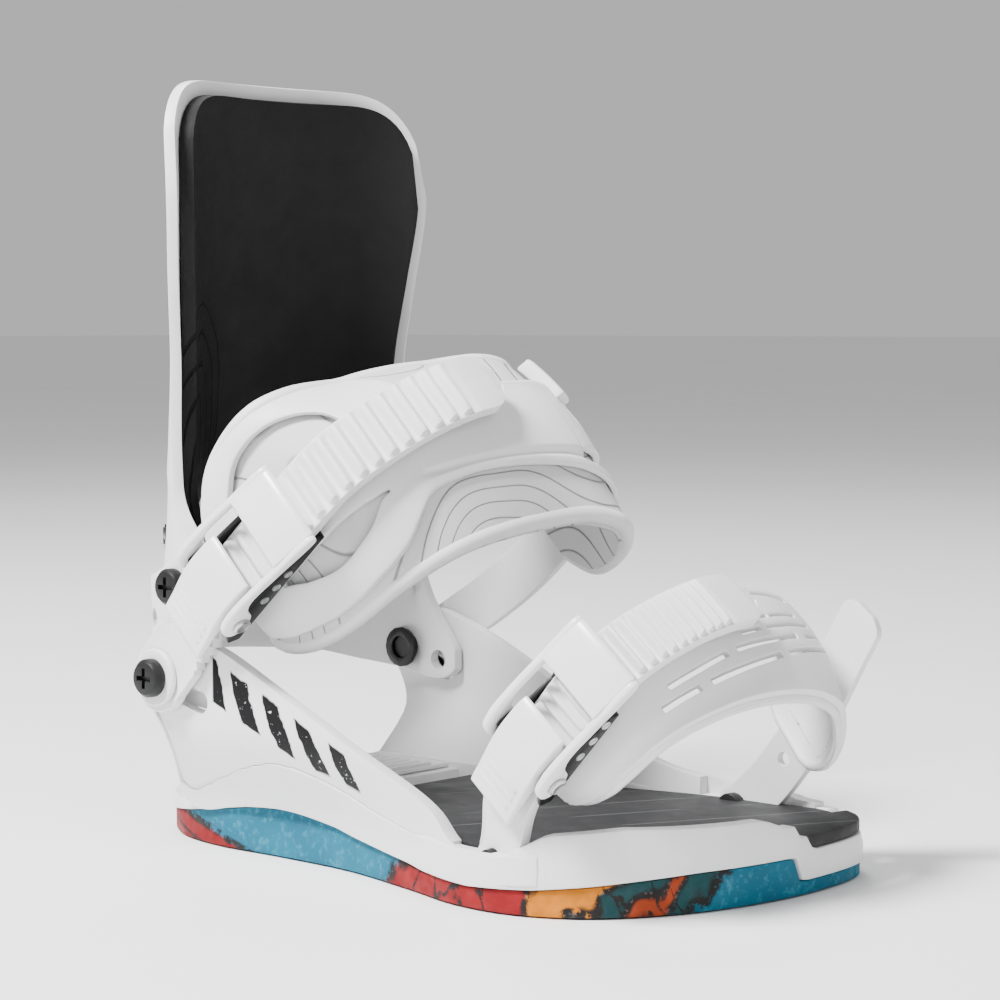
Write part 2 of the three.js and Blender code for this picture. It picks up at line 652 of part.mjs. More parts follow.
const TOE_ARCH = arch([
  [-50.5, 24], [-53, 36], [-52.4, 48], [-48, 60], [-38.5, 69.5], [-24, 76], [-6, 79.6], [12, 80], [28, 77.5],
  [41, 71], [49, 60], [51.6, 48], [50.5, 38],
]);
const TOE_EDGES = [
  [0, -5, 4], [0.015, -9, 7], [0.05, -15, 10], [0.12, -20, 12], [0.25, -23, 13], [0.5, -24, 13.5], [0.75, -22, 15],
  [0.88, -18, 18], [0.95, -14, 19], [0.985, -8, 17], [1, -1, 12],
];
const toeDip = (share, n) => 0.16 * (n + 5) + 3 * ((n + 5) / 19) ** 2;

function toePad() {
  const body = layer(toe, TOE_ARCH, TOE_EDGES, toeDip, -4.6, 0, 24, 4);
  const cuts = [];
  for (const [n, shares] of [[-17.5, [0.5, 0.6, 0.7]], [-7, [0.58, 0.68]], [3, [0.42, 0.52, 0.62, 0.72]]]) {
    for (const share of shares) {
      const edges = [[0, n - 1.5, n + 1.5], [1, n - 1.5, n + 1.5]];
      cuts.push(layer(toe, TOE_ARCH, edges, toeDip, -8, 4, 2, 1, share, share + 0.065));
    }
  }
  return cut(body, ...cuts);
}

// ---- ratchet buckles -------------------------------------------------------------------------
// Both buckles share one design, drawn in (u, t): u up the strap and t outwards from its surface.
const BUCKLE_PIN = [5, 9.8];
const PIN_R = 2;
const LADDER_T = 3.6; // the ladder's middle above the buckle's origin
const LEVER_PROFILE = [
  [1, 7.4], [-1, 10.6], [1, 14.6], [7, 16.8], [16, 16.2], [28, 13.6], [44, 9.6], [45, 7.6], [43.6, 6.9], [27, 10.8],
  [15, 13], [10.6, 10.6], [9, 7.8], [5, 6.8],
];
const LEVER_PLATE = [[24, 11.4], [24, 14.6], [28, 13.6], [44, 9.6], [45, 7.6], [43.6, 6.9], [30, 10.1]];
const RELEASE_PROFILE = [
  [-16, 7.2], [-16.6, 8.9], [-9, 11.4], [-1, 13.9], [6, 15.2], [16, 14.4], [18, 12.9], [15.6, 11.6], [9.4, 8.6],
  [6, 7.1], [1.5, 7.3], [-1.4, 6.8], [-2.6, 8.6], [-8, 8.4],
];

const bracketSide = (length) => [
  [-5, 0.4], [-7, 4], [-3, 7.6], [0.6, 10.6], [4, 13], [8, 12], [11, 9.4], [length * 0.56, 6.6], [length - 3, 4],
  [length, 0.4],
];

// A profile in (u, t) extruded along v.
function buckleBar(profile, v0, v1) {
  const geometry = new THREE.ExtrudeGeometry(shapeOf(profile), { depth: v1 - v0, bevelEnabled: false });
  const turn = new THREE.Matrix4().makeBasis(
    new THREE.Vector3(1, 0, 0),
    new THREE.Vector3(0, 0, 1),
    new THREE.Vector3(0, -1, 0),
  );
  return solid(geometry.applyMatrix4(turn).translate(0, v1, 0));
}

function bucklePinRod(radius, v0, v1, sides = 16) {
  return rodY(radius, v0, v1, BUCKLE_PIN[0], BUCKLE_PIN[1], sides);
}

// The buckle's base: a floor under the ladder, two sides and a foot that stands on the strap.
function bracket(half, length, footT) {
  const side = (v) => buckleBar(bracketSide(length), v, v + 1.3);
  const floor = box(-5, length, -half - 1.2, half + 1.2, 0.4, 1.6);
  const foot = rodZ(5, footT, 1, 16, 0);
  const body = join(floor, foot, side(-half - 1.6), side(half + 0.3));
  return body.subtract(bucklePinRod(PIN_R + FIT, -40, 40));
}

function driveLever(half) {
  const inner = half + 2;
  const arms = [buckleBar(LEVER_PROFILE, -inner - 2.4, -inner), buckleBar(LEVER_PROFILE, inner, inner + 2.4)];
  const plate = buckleBar(LEVER_PLATE, -inner - 0.5, inner + 0.5);
  return join(arms[0], arms[1], plate).subtract(bucklePinRod(PIN_R + FIT, -40, 40));
}

function releaseLever(half) {
  const body = buckleBar(RELEASE_PROFILE, -half + 0.6, half - 0.6);
  const springBay = box(1, 9, -3.4, 3.4, 5, 13.6);
  return cut(body, springBay, bucklePinRod(PIN_R + FIT, -40, 40));
}

function bucklePin(half) {
  const end = half + 4.7;
  const heads = [bucklePinRod(3, -end - 1.1, -end, 12), bucklePinRod(3, end, end + 1.1, 12)];
  return join(bucklePinRod(PIN_R, -end - 0.5, end + 0.5, 12), ...heads);
}

class Coil extends THREE.Curve {
  getPoint(t) {
    const turn = t * 3 * 2 * Math.PI;
    const [u, h] = BUCKLE_PIN;
    return new THREE.Vector3(u + 2.75 * Math.cos(turn), lerp(-2.4, 2.4, t), h + 2.75 * Math.sin(turn));
  }
}

function releaseSpring() {
  const shape = shapeOf([[0.4, 0], [0, 0.4], [-0.4, 0], [0, -0.4]]);
  return solid(new THREE.ExtrudeGeometry(shape, { steps: 27, extrudePath: new Coil(), bevelEnabled: false }));
}

function buckle(prefix, matrix, half, length, footT) {
  const place = (body) => solid(geometryOf(body).applyMatrix4(matrix));
  add(`${prefix}_buckle_base`, place(bracket(half, length, footT)), BLACK);
  add(`${prefix}_drive_lever`, place(driveLever(half)), WHITE);
  add(`${prefix}_release_lever`, place(releaseLever(half)), WHITE);
  add(`${prefix}_buckle_pin`, place(bucklePin(half)), STEEL);
  add(`${prefix}_release_spring`, place(releaseSpring()), STEEL);
}

// ---- assembly --------------------------------------------------------------------------------
add('base_bushing', bushing(), SKY);
add('baseplate', baseplate(), WHITE);
add('footbed', footbed(), FOAM);
add('heel_pad', heelPad(), WHITE);
add('mounting_disc', mountingDisc(), BLACK);
SCREW_SPOTS.forEach((spot, i) => add(`disc_screw_${i + 1}`, discScrew(spot), STEEL));
add('heelcup', heelcup(), WHITE);

for (const [side, sign] of [['outer', -1], ['inner', 1]]) {
  add(`ankle_bolt_${side}`, crossBolt(sign, ANKLE_Y, ANKLE_Z, 6.2, 67.1, 49.2, ANKLE_PIN_R), BLACK_STEEL);
  add(`ankle_washer_${side}`, ring(sign, ANKLE_Y, ANKLE_Z, 9.3, ANKLE_PIN_R + 2 * FIT, 65.2, 66.8), WHITE);
  add(`ankle_nut_${side}`, anchorNut(sign, ANKLE_Y, ANKLE_Z, 7, ANKLE_PIN_R + FIT, 4.9, 48, 49.6, 55), BLACK_STEEL);
  add(`back_bolt_${side}`, crossBolt(sign, PIVOT_Y, PIVOT_Z, 6, 56, 42.6, PIVOT_PIN_R), BLACK_STEEL);
  add(`back_nut_${side}`, ring(sign, PIVOT_Y, PIVOT_Z, 6, PIVOT_PIN_R + FIT, 42.4, 44.4), BLACK_STEEL);
}

add('highback_shell', highbackShell(), WHITE);
add('highback_pad', highbackPad(), FOAM);
add('lean_block', leanBlock(), BLACK);
add('lean_bolt', leanBolt(), STEEL);
add('lean_pin', leanPin(), STEEL);
add('lean_lever', leanLever(), BLACK);

const ankleHole = screwHole(ankle, ANKLE_SCREW, 2.6);
const toeHole = screwHole(toe, TOE_SCREW, 2.6);
add('ankle_pad', cut(anklePad(), ankleHole), WHITE);
add('ankle_frame', cut(ankleFrame(), ankleHole), WHITE);
add('ankle_ladder', ankleLadder(), WHITE);
add('ankle_extender', cut(extender(ankle, ANKLE_EXTENDER, 18, 3, 11.4, [[0, 0, ANKLE_PIN_R + FIT]]), ankleHole), WHITE);
add('ankle_extender_screw', strapScrew(ankle, ANKLE_SCREW, 62, 50), BLACK_STEEL);
buckle('ankle', ankle.local(-61.9 + LADDER_T, 38, 0, 5.7), ANKLE_LADDER_W / 2 + 0.3, 43, -2.9);

const extenderHoles = [[0, 0, TOE_PIN_R + FIT], [26, 4, 2.4], [35, 4, 2.4]];
add('toe_strap', cut(toePad(), toeHole), WHITE);
add('toe_ladder', toeLadder(), WHITE);
add('toe_extender', cut(extender(toe, TOE_EXTENDER, 16, 3, 7, extenderHoles), toeHole), WHITE);
add('toe_extender_screw', strapScrew(toe, TOE_SCREW, 58.2, 48), BLACK_STEEL);
buckle('toe', toe.local(-60.2 + LADDER_T, 32, -8, 5.7), TOE_LADDER_W / 2 + 0.3, 30, -1.1);

for (const [side, sign] of [['outer', -1], ['inner', 1]]) {
  const pin = join(rodX(TOE_PIN_R, -63.4, -54, TOE_Y, TOE_Z), rodX(4.6, -56.6, -53, TOE_Y, TOE_Z));
  add(`toe_pin_${side}`, sign < 0 ? pin : mirrorX(pin), BLACK_STEEL);
}

export default binding;
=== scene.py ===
"""Looks of a right-foot snowboard binding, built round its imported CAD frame.

Sizes are in millimetres in the part's own design frame (+Z up, toe along -Y, buckles at -X);
place() turns them into metres in the row frame."""

import math
from bisect import bisect_right

import bmesh
import bpy
from mathutils import Matrix, Vector


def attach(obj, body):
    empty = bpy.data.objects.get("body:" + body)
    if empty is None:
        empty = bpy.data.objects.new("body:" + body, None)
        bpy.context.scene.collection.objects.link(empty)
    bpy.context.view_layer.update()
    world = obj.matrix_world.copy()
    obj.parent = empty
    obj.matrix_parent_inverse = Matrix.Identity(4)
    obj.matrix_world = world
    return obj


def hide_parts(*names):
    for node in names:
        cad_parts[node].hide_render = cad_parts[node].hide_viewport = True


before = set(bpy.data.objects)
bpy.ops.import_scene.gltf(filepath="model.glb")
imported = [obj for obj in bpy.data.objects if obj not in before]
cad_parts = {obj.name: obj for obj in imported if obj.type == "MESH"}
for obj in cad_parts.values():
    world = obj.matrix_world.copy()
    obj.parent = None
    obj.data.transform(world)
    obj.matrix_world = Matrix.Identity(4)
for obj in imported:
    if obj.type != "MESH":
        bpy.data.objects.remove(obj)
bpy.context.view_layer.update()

# ---- shared dimensions (mm) --------------------------------------------------------------------
CENTRE_X, CENTRE_Y = 1.6, -5.2
RAIL, FLOOR_TOP, HEEL_TOP = 6.0, 13.0, 18.0
DISC_Y, DISC_BORE, DISC_STEP = -6.0, 41.6, 46.6
ANKLE_BORE, PIVOT_BORE = 4.1, 3.4
WALL_X, WALL = 61.0, 5.0
ANKLE_Y, ANKLE_Z = 77.0, 56.5
TOE_Y, TOE_Z = -64.0, 15.0
PIVOT_Y, PIVOT_Z = 79.0, 85.0
HOOP_Y, HOOP_R, HOOP_WALL, HOOP_ARM = 70.0, 55.3, 3.7, 16.0
BACK_R, BACK_WALL, BACK_TOP, PAD_WALL = 50.9, 3.5, 250.6, 4.5


def place(p):
    return Vector(((p[0] + CENTRE_X) / 1000, (p[1] + CENTRE_Y) / 1000, p[2] / 1000))


def lerp(a, b, t):
    return a + (b - a) * t


def smooth(x, low, high):
    t = min(1.0, max(0.0, (x - low) / (high - low)))
    return t * t * (3 - 2 * t)


def along(rows, position, column=1):
    low = rows[0]
    for row in rows:
        if position <= row[0]:
            if row is low:
                return row[column]
            return lerp(low[column], row[column], (position - low[0]) / (row[0] - low[0]))
        low = row
    return low[column]


def steps(low, high, count):
    return [lerp(low, high, i / count) for i in range(count + 1)]


class Curve:
    """A smooth curve through points, read by its share of length."""

    def __init__(self, points, closed=False):
        pts = [Vector(p if len(p) == 3 else (*p, 0)) for p in points]
        n = len(pts)
        dense = []
        for i in range(n if closed else n - 1):
            if closed:
                a, b, c, d = (pts[(i + k) % n] for k in (-1, 0, 1, 2))
            else:
                b, c = pts[i], pts[i + 1]
                a = pts[i - 1] if i else b * 2 - c
                d = pts[i + 2] if i + 2 < n else c * 2 - b
            t = [0.0]
            for p, q in ((a, b), (b, c), (c, d)):
                t.append(t[-1] + max((q - p).length, 1e-6) ** 0.5)
            for k in range(16):
                s = lerp(t[1], t[2], k / 16)
                a1 = a.lerp(b, (s - t[0]) / (t[1] - t[0]))
                a2 = b.lerp(c, (s - t[1]) / (t[2] - t[1]))
                a3 = c.lerp(d, (s - t[2]) / (t[3] - t[2]))
                b1 = a1.lerp(a2, (s - t[0]) / (t[2] - t[0]))
                b2 = a2.lerp(a3, (s - t[1]) / (t[3] - t[1]))
                dense.append(b1.lerp(b2, (s - t[1]) / (t[2] - t[1])))
        dense.append(dense[0].copy() if closed else pts[-1].copy())
        self.points = dense
        self.reach = [0.0]
        for p, q in zip(dense, dense[1:]):
            self.reach.append(self.reach[-1] + (q - p).length)

    def at(self, share):
        want = min(1.0, max(0.0, share)) * self.reach[-1]
        high = min(len(self.reach) - 1, bisect_right(self.reach, want))
        start, end = self.reach[high - 1], self.reach[high]
        return self.points[high - 1].lerp(self.points[high], (want - start) / (end - start))

    def tangent(self, share):
        a, b = max(0.0, share - 0.008), min(1.0, share + 0.008)
        return (self.at(b) - self.at(a)).normalized()


def ease(rows, column):
    """Rows of (position, value) along a smooth curve through one column of a table."""
    curve = Curve([(row[0], row[column]) for row in rows])
    return [(p.x, p.y) for p in curve.points]


# ---- mesh building -----------------------------------------------------------------------------
def show(name, data):
    """A new object of some data, linked to the scene."""
    obj = bpy.data.objects.new(name, data)
    bpy.context.scene.collection.objects.link(obj)
    return obj


def evaluated(obj):
    """A new mesh of an object with its modifiers or bevel applied."""
    graph = bpy.context.evaluated_depsgraph_get()
    graph.update()
    return bpy.data.meshes.new_from_object(obj.evaluated_get(graph))


def make(name, bm, bevel=0.0, segments=2, subdivide=0, angle=35, sharp=40):
    """The finished object of a bmesh in metres: bevelled, subdivided and smooth-shaded."""
    bmesh.ops.recalc_face_normals(bm, faces=bm.faces)
    mesh = bpy.data.meshes.new(name)
    bm.to_mesh(mesh)
    bm.free()
    obj = show(name, mesh)
    if bevel:
        mod = obj.modifiers.new("bevel", "BEVEL")
        mod.width = bevel / 1000
        mod.segments = segments
        mod.limit_method = "ANGLE"
        mod.angle_limit = math.radians(angle)
        mod.miter_outer = "MITER_ARC"
    if subdivide:
        mod = obj.modifiers.new("subdivide", "SUBSURF")
        mod.levels = mod.render_levels = subdivide
    settle(obj)
    shade(obj, sharp)
    return obj


def settle(obj):
    """Applies the modifiers of an object."""
    done, old = evaluated(obj), obj.data
    obj.modifiers.clear()
    obj.data = done
    bpy.data.meshes.remove(old)
    done.name = obj.name


def shade(obj, sharp=40):
    obj.data.shade_smooth()
    obj.data.set_sharp_from_angle(angle=math.radians(sharp))


def cut(obj, *tools, mode="DIFFERENCE"):
    """Boolean of an object with tool objects, which are then removed."""
    for tool in tools:
        mod = obj.modifiers.new("cut", "BOOLEAN")
        mod.operation = mode
        mod.solver = "EXACT"
        mod.object = tool
    settle(obj)
    for tool in tools:
        bpy.data.objects.remove(tool)
    shade(obj)
    return obj


def panel(name, point, us, vs, mask=None, closed=False, **finish):
    """A thin closed body over a grid: point(u, v, side). mask(i, j) leaves cells open."""
    bm = bmesh.new()
    found = {}
    wide = len(us) - (0 if closed else 1)
    tall = len(vs) - 1

    def vert(i, j, side):
        i %= len(us) if closed else len(us) + 1
        key = (i, j, side)
        if key not in found:
            found[key] = bm.verts.new(place(point(us[i], vs[j], side)))
        return found[key]

    def there(i, j):
        if closed:
            i %= wide
        return 0 <= i < wide and 0 <= j < tall and (mask is None or mask(i, j))

    for i in range(wide):
        for j in range(tall):
            if not there(i, j):
                continue
            a, b, c, d = (i, j), (i + 1, j), (i + 1, j + 1), (i, j + 1)
            bm.faces.new([vert(*p, 1) for p in (a, b, c, d)])
            bm.faces.new([vert(*p, 0) for p in (d, c, b, a)])
            sides = ((a, b, 0, -1), (b, c, 1, 0), (c, d, 0, 1), (d, a, -1, 0))
            for p, q, di, dj in sides:
                if not there(i + di, j + dj):
                    bm.faces.new([vert(*p, 0), vert(*q, 0), vert(*q, 1), vert(*p, 1)])
    return make(name, bm, **finish)


def prism(name, outline, low, high, matrix=None, **finish):
    """An outline in the local XY plane, from low to high along local Z, in millimetres."""
    bm = bmesh.new()
    rings = []
    for z in (low, high):
        local = [Vector((x, y, z)) for x, y in outline]
        rings.append([bm.verts.new(place(matrix @ p if matrix else p)) for p in local])
    bm.faces.new(rings[0][::-1])
    bm.faces.new(rings[1])
    n = len(outline)
    for i in range(n):
        j = (i + 1) % n
        bm.faces.new([rings[0][i], rings[0][j], rings[1][j], rings[1][i]])
    return make(name, bm, **finish)


def lathe(name, profile, matrix, sides=40, **finish):
    """A profile of (radius, height) rows turned about local Z; the ends close on the axis."""
    bm = bmesh.new()
    rings = []
    for r, h in profile:
        if r < 1e-6:
            rings.append([bm.verts.new(place(matrix @ Vector((0, 0, h))))])
            continue
        angles = [2 * math.pi * k / sides for k in range(sides)]
        around = [Vector((r * math.cos(a), r * math.sin(a), h)) for a in angles]
        rings.append([bm.verts.new(place(matrix @ p)) for p in around])
    for low, high in zip(rings, rings[1:]):
        for k in range(sides):
            m = (k + 1) % sides
            loop = [low[k % len(low)], low[m % len(low)], high[m % len(high)], high[k % len(high)]]
            bm.faces.new(list(dict.fromkeys(loop)))
    if len(rings[0]) > 1:
        bm.faces.new(rings[0][::-1])
    if len(rings[-1]) > 1:
        bm.faces.new(rings[-1])
    return make(name, bm, **finish)


def drill(radius, matrix, low=0, high=30, sides=32):
    """A round tool that cuts a bore along local Z."""
    return lathe("hole", [(radius, low), (radius, high)], matrix, sides)


def tube(name, points, radius, sides=8, closed=False):
    """A round bead along points in millimetres."""
    curve = bpy.data.curves.new(name, "CURVE")
    curve.dimensions = "3D"
    curve.bevel_depth = radius / 1000
    curve.bevel_resolution = sides // 4
    curve.use_fill_caps = True
    path = curve.splines.new("POLY")
    path.points.add(len(points) - 1)
    for spot, p in zip(path.points, points):
        spot.co = (*place(p), 1)
    path.use_cyclic_u = closed
    line = show(name, curve)
    mesh = evaluated(line)
    bpy.data.objects.remove(line)
    mesh.name = name
    obj = show(name, mesh)
    shade(obj)
    return obj


def merge(name, *objs):
    """Several objects as one mesh."""
    bm = bmesh.new()
    for obj in objs:
        bm.from_mesh(obj.data)
        bpy.data.objects.remove(obj)
    mesh = bpy.data.meshes.new(name)
    bm.to_mesh(mesh)
    bm.free()
    obj = show(name, mesh)
    shade(obj)
    return obj


def axes(origin, x, y, z):
    """A matrix in millimetres from an origin and three unit directions."""
    m = Matrix((x, y, z)).transposed().to_4x4()
    m.translation = Vector(origin)
    return m


def across(x, y, z, sign=1):
    """Local Z along sign * X, for bolts and discs on the sides."""
    return axes((x, y, z), (0, sign, 0), (0, 0, 1), (sign, 0, 0))


# ---- materials ---------------------------------------------------------------------------------
class Nodes:
    """Small helper that builds a material's nodes."""

    def __init__(self, name):
        self.mat = bpy.data.materials.new(name)
        self.mat.use_nodes = True
        self.tree = self.mat.node_tree
        self.tree.nodes.clear()
        self.shader = self.node("BsdfPrincipled")
        self.link(self.shader.outputs[0], self.node("OutputMaterial").inputs[0])
        self.where = self.node("TexCoord").outputs["Object"]

    def node(self, kind):
        return self.tree.nodes.new("ShaderNode" + kind)

    def link(self, a, b):
        self.tree.links.new(a, b)

    def feed(self, socket, value):
        """Puts a number, a colour or another node's output into a socket."""
        if isinstance(value, (int, float)):
            socket.default_value = value
        elif isinstance(value, tuple):
            socket.default_value = (*value, 1)
        else:
            self.link(value, socket)

    def noise(self, scale, detail=3.0, rough=0.55, where=None, distort=0.0):
        node = self.node("TexNoise")
        settings = {"Scale": scale, "Detail": detail, "Roughness": rough, "Distortion": distort}
        for key, value in settings.items():
            node.inputs[key].default_value = value
        self.link(where or self.where, node.inputs["Vector"])
        return node.outputs[0]

    def math(self, kind, *values, clamp=False):
        node = self.node("Math")
        node.operation = kind
        node.use_clamp = clamp
        for i, value in enumerate(values):
            self.feed(node.inputs[i], value)
        return node.outputs[0]

    def chain(self, kind, first, *rest):
        for value in rest:
            first = self.math(kind, first, value)
        return first

    def add(self, *values):
        return self.chain("ADD", *values)

    def sub(self, a, b):
        return self.math("SUBTRACT", a, b)

    def mul(self, *values):
        return self.chain("MULTIPLY", *values)

    def range(self, value, a, b, c=0.0, d=1.0):
        node = self.node("MapRange")
        self.link(value, node.inputs[0])
        for i, x in enumerate((a, b, c, d)):
            node.inputs[i + 1].default_value = x
        return node.outputs[0]

    def near(self, value, centre, far, close):
        """1 close to a centre, falling to 0 at the far distance."""
        return self.range(self.math("ABSOLUTE", self.sub(value, centre)), far, close)

    def saw(self, value, far, close):
        """1 near the middle of each whole step of a value."""
        return self.near(self.math("FRACT", value), 0.5, far, close)

    def mix(self, share, a, b):
        node = self.node("Mix")
        node.data_type = "RGBA"
        for i, value in ((0, share), (6, a), (7, b)):
            self.feed(node.inputs[i], value)
        return node.outputs[2]

    def drift(self, scale, detail, low, high):
        """A number that drifts between two values."""
        return self.range(self.noise(scale, detail), 0.3, 0.7, low, high)

    def mottle(self, color, tint, scale, detail, start=0.35):
        """A colour with clouds of a darker tint."""
        share = self.range(self.noise(scale, detail), start, 0.7)
        return self.mix(share, color, tuple(c * tint for c in color))

    def split(self):
        node = self.node("SeparateXYZ")
        self.link(self.where, node.inputs[0])
        return node.outputs

    def bump(self, height, distance):
        node = self.node("Bump")
        node.inputs["Strength"].default_value = 1.0
        node.inputs["Distance"].default_value = distance
        self.link(height, node.inputs["Height"])
        normal = self.shader.inputs["Normal"]
        if normal.links:
            self.link(normal.links[0].from_socket, node.inputs["Normal"])
        self.link(node.outputs[0], normal)

    def set(self, **values):
        for key, value in values.items():
            self.feed(self.shader.inputs[key.replace("_", " ")], value)


def plastic(name, color, rough=0.38, grain=0.00002, tint=0.94, coat=0.0):
    """Moulded plastic: faint mottling, fine mould grain and slightly uneven gloss."""
    n = Nodes(name)
    n.set(Base_Color=n.mottle(color, tint, 28, 4))
    n.set(Roughness=n.drift(60, 5, rough - 0.06, rough + 0.08))
    n.set(Coat_Weight=coat, Coat_Roughness=0.25)
    n.bump(n.noise(1500, 2), grain)
    n.bump(n.noise(70, 2), 0.00003)
    return n.mat


def topo(n, scale, bands, width):
    """Thin contour lines of a slow noise, 1 on a line."""
    return n.saw(n.mul(n.noise(scale, 0.5, 0.4), bands), width, 0.0)


def rings(n, centre, squash, pitch, reach):
    """Thin uneven rings round a place, out to a reach, 1 on a line."""
    parts = n.split()
    sides = [n.mul(n.sub(parts[axis], centre[axis]), squash[axis]) for axis in (0, 2)]
    away = n.math("SQRT", n.add(*(n.mul(a, a) for a in sides)))
    away = n.add(away, n.mul(n.sub(n.noise(30, 1), 0.5), 0.012))
    line = n.saw(n.math("DIVIDE", away, pitch), 0.11, 0.03)
    return n.mul(line, n.range(away, reach, reach - 0.001))


def stripes(n, pitch):
    """Broken diagonal stripes across the footbed, 1 on a line."""
    parts = n.split()
    diagonal = n.add(n.mul(parts[0], 0.5), parts[1])
    line = n.saw(n.math("DIVIDE", diagonal, pitch), 0.045, 0.02)
    return n.mul(line, n.range(n.noise(22, 1), 0.47, 0.5))


def liner(name, color, dark, pattern, rough=0.62, gloss=0.3):
    """Moulded foam skin with a leather grain and an engraved pattern of lines."""
    n = Nodes(name)
    lines = pattern(n)
    n.set(Base_Color=n.mix(lines, n.mottle(color, 0.95, 40, 3, 0.3), dark))
    n.set(Roughness=n.drift(90, 4, rough - 0.08, rough + 0.08), Specular_IOR_Level=gloss)
    cell = n.node("TexVoronoi")
    cell.inputs["Scale"].default_value = 1300
    n.link(n.where, cell.inputs["Vector"])
    n.bump(cell.outputs["Distance"], 0.00006)
    n.bump(n.sub(1.0, lines), 0.0004)
    return n.mat


def metal(name, color, rough=0.32, metallic=1.0):
    """Machined or coated metal with fine scratches."""
    n = Nodes(name)
    mapping = n.node("Mapping")
    mapping.inputs["Scale"].default_value = (1, 14, 14)
    n.link(n.where, mapping.inputs["Vector"])
    scratch = n.noise(400, 4, where=mapping.outputs[0])
    n.set(Base_Color=n.mottle(color, 0.8, 120, 3))
    n.set(Roughness=n.range(scratch, 0.3, 0.7, rough - 0.08, rough + 0.1))
    n.set(Metallic=metallic, Specular_IOR_Level=0.3)
    n.bump(scratch, 0.00001)
    return n.mat


INK = (0.008, 0.007, 0.006)
RED, YELLOW, ORANGE = (0.175, 0.001, 0.003), (0.42, 0.13, 0.0), (0.24, 0.028, 0.002)
# Metres along the side of the sole: start, end and tone of each brushed patch.
PATCHES = (
    (-0.020, 0.019, RED),
    (0.019, 0.036, YELLOW),
    (0.036, 0.050, (0.002, 0.032, 0.036)),
    (0.050, 0.060, ORANGE),
    (0.060, 0.071, (0.002, 0.036, 0.040)),
)
PATCH_EDGE, HEEL_PATCH, HEEL_STROKE = 0.0012, -0.068, -0.083


def foam_print(name):
    """Printed foam: speckled sky blue, with bold generic brushed patches along the side."""
    n = Nodes(name)
    x, y, z = n.split()
    wobble = n.mul(n.sub(n.noise(34, 3), 0.5), 0.05)
    slant = n.add(n.mul(x, 0.665), n.mul(y, -0.747))
    s = n.add(slant, wobble, n.mul(z, -0.9))
    heel = n.add(slant, n.mul(wobble, 0.25), n.mul(z, 2.2))
    speck = n.range(n.noise(420, 3, 0.7), 0.52, 0.68)
    blue = n.mix(n.drift(50, 4, 0.0, 1.0), (0.001, 0.085, 0.150), (0.003, 0.125, 0.195))
    color = n.mix(n.mul(speck, 0.35), blue, (0.06, 0.32, 0.42))
    dark = n.near(heel, HEEL_PATCH, 0.0042, 0.0024)
    for low, high, tone in PATCHES:
        after = n.range(s, low - PATCH_EDGE, low + PATCH_EDGE)
        before = n.range(s, high + PATCH_EDGE, high - PATCH_EDGE)
        light = tuple(min(1, c * 1.35 + 0.004) for c in tone)
        brushed = n.mix(n.range(n.noise(180, 3), 0.4, 0.7), tone, light)
        color = n.mix(n.mul(after, before), color, brushed)
        for line in (low, high):
            dark = n.math("MAXIMUM", dark, n.near(s, line, 0.0034, 0.0016))
    color = n.mix(n.range(heel, HEEL_PATCH, HEEL_PATCH - 0.002), color, RED)
    brush = n.near(heel, HEEL_STROKE, 0.0020, 0.0008)
    sweep = n.near(n.noise(26, 2, distort=1.6), 0.5, 0.022, 0.012)
    stroke = n.mul(sweep, n.range(s, -0.022, -0.017))
    dark = n.chain("MAXIMUM", dark, brush, stroke)
    dry = n.range(n.noise(300, 3, 0.8), 0.40, 0.5)
    dark = n.math("MULTIPLY", dark, dry, clamp=True)
    color = n.mix(n.mul(dark, n.range(s, 0.0755, 0.0735)), color, INK)
    n.set(Base_Color=color, Roughness=n.drift(200, 4, 0.5, 0.75), Specular_IOR_Level=0.25)
    n.bump(n.noise(900, 3), 0.00006)
    return n.mat


SHELL_TONE = (0.77, 0.77, 0.775)


def brushed_white(name):
    """White moulded nylon with generic black brush dashes along the outer wall's upper edge."""
    n = Nodes(name)
    x, y, z = n.split()
    base = n.mottle(SHELL_TONE, 0.95, 28, 4)
    wob = n.mul(n.sub(n.noise(90, 3), 0.5), 0.006)
    slope = n.add(n.sub(y, n.mul(z, 0.35)), wob)
    dash = n.saw(n.mul(slope, 82), 0.29, 0.25)
    depth = n.add(n.sub(n.mul(y, 0.43), z), 0.0425, n.mul(wob, 0.5))
    band = n.mul(n.range(depth, 0, 0.0006), n.range(depth, 0.0145, 0.0139))
    span = n.mul(n.range(y, -0.012, -0.0112), n.range(y, 0.0512, 0.0505))
    outer = n.range(x, -0.0546, -0.0551)
    dry = n.range(n.noise(500, 3, 0.8), 0.30, 0.36)
    ink = n.mul(dash, band, n.mul(span, outer), dry)
    n.set(Base_Color=n.mix(ink, base, (0.004, 0.004, 0.0045)))
    n.set(Specular_IOR_Level=n.range(ink, 0, 1, 0.5, 0.1), Roughness=n.drift(60, 5, 0.32, 0.46))
    n.bump(n.noise(1500, 2), 0.00002)
    return n.mat


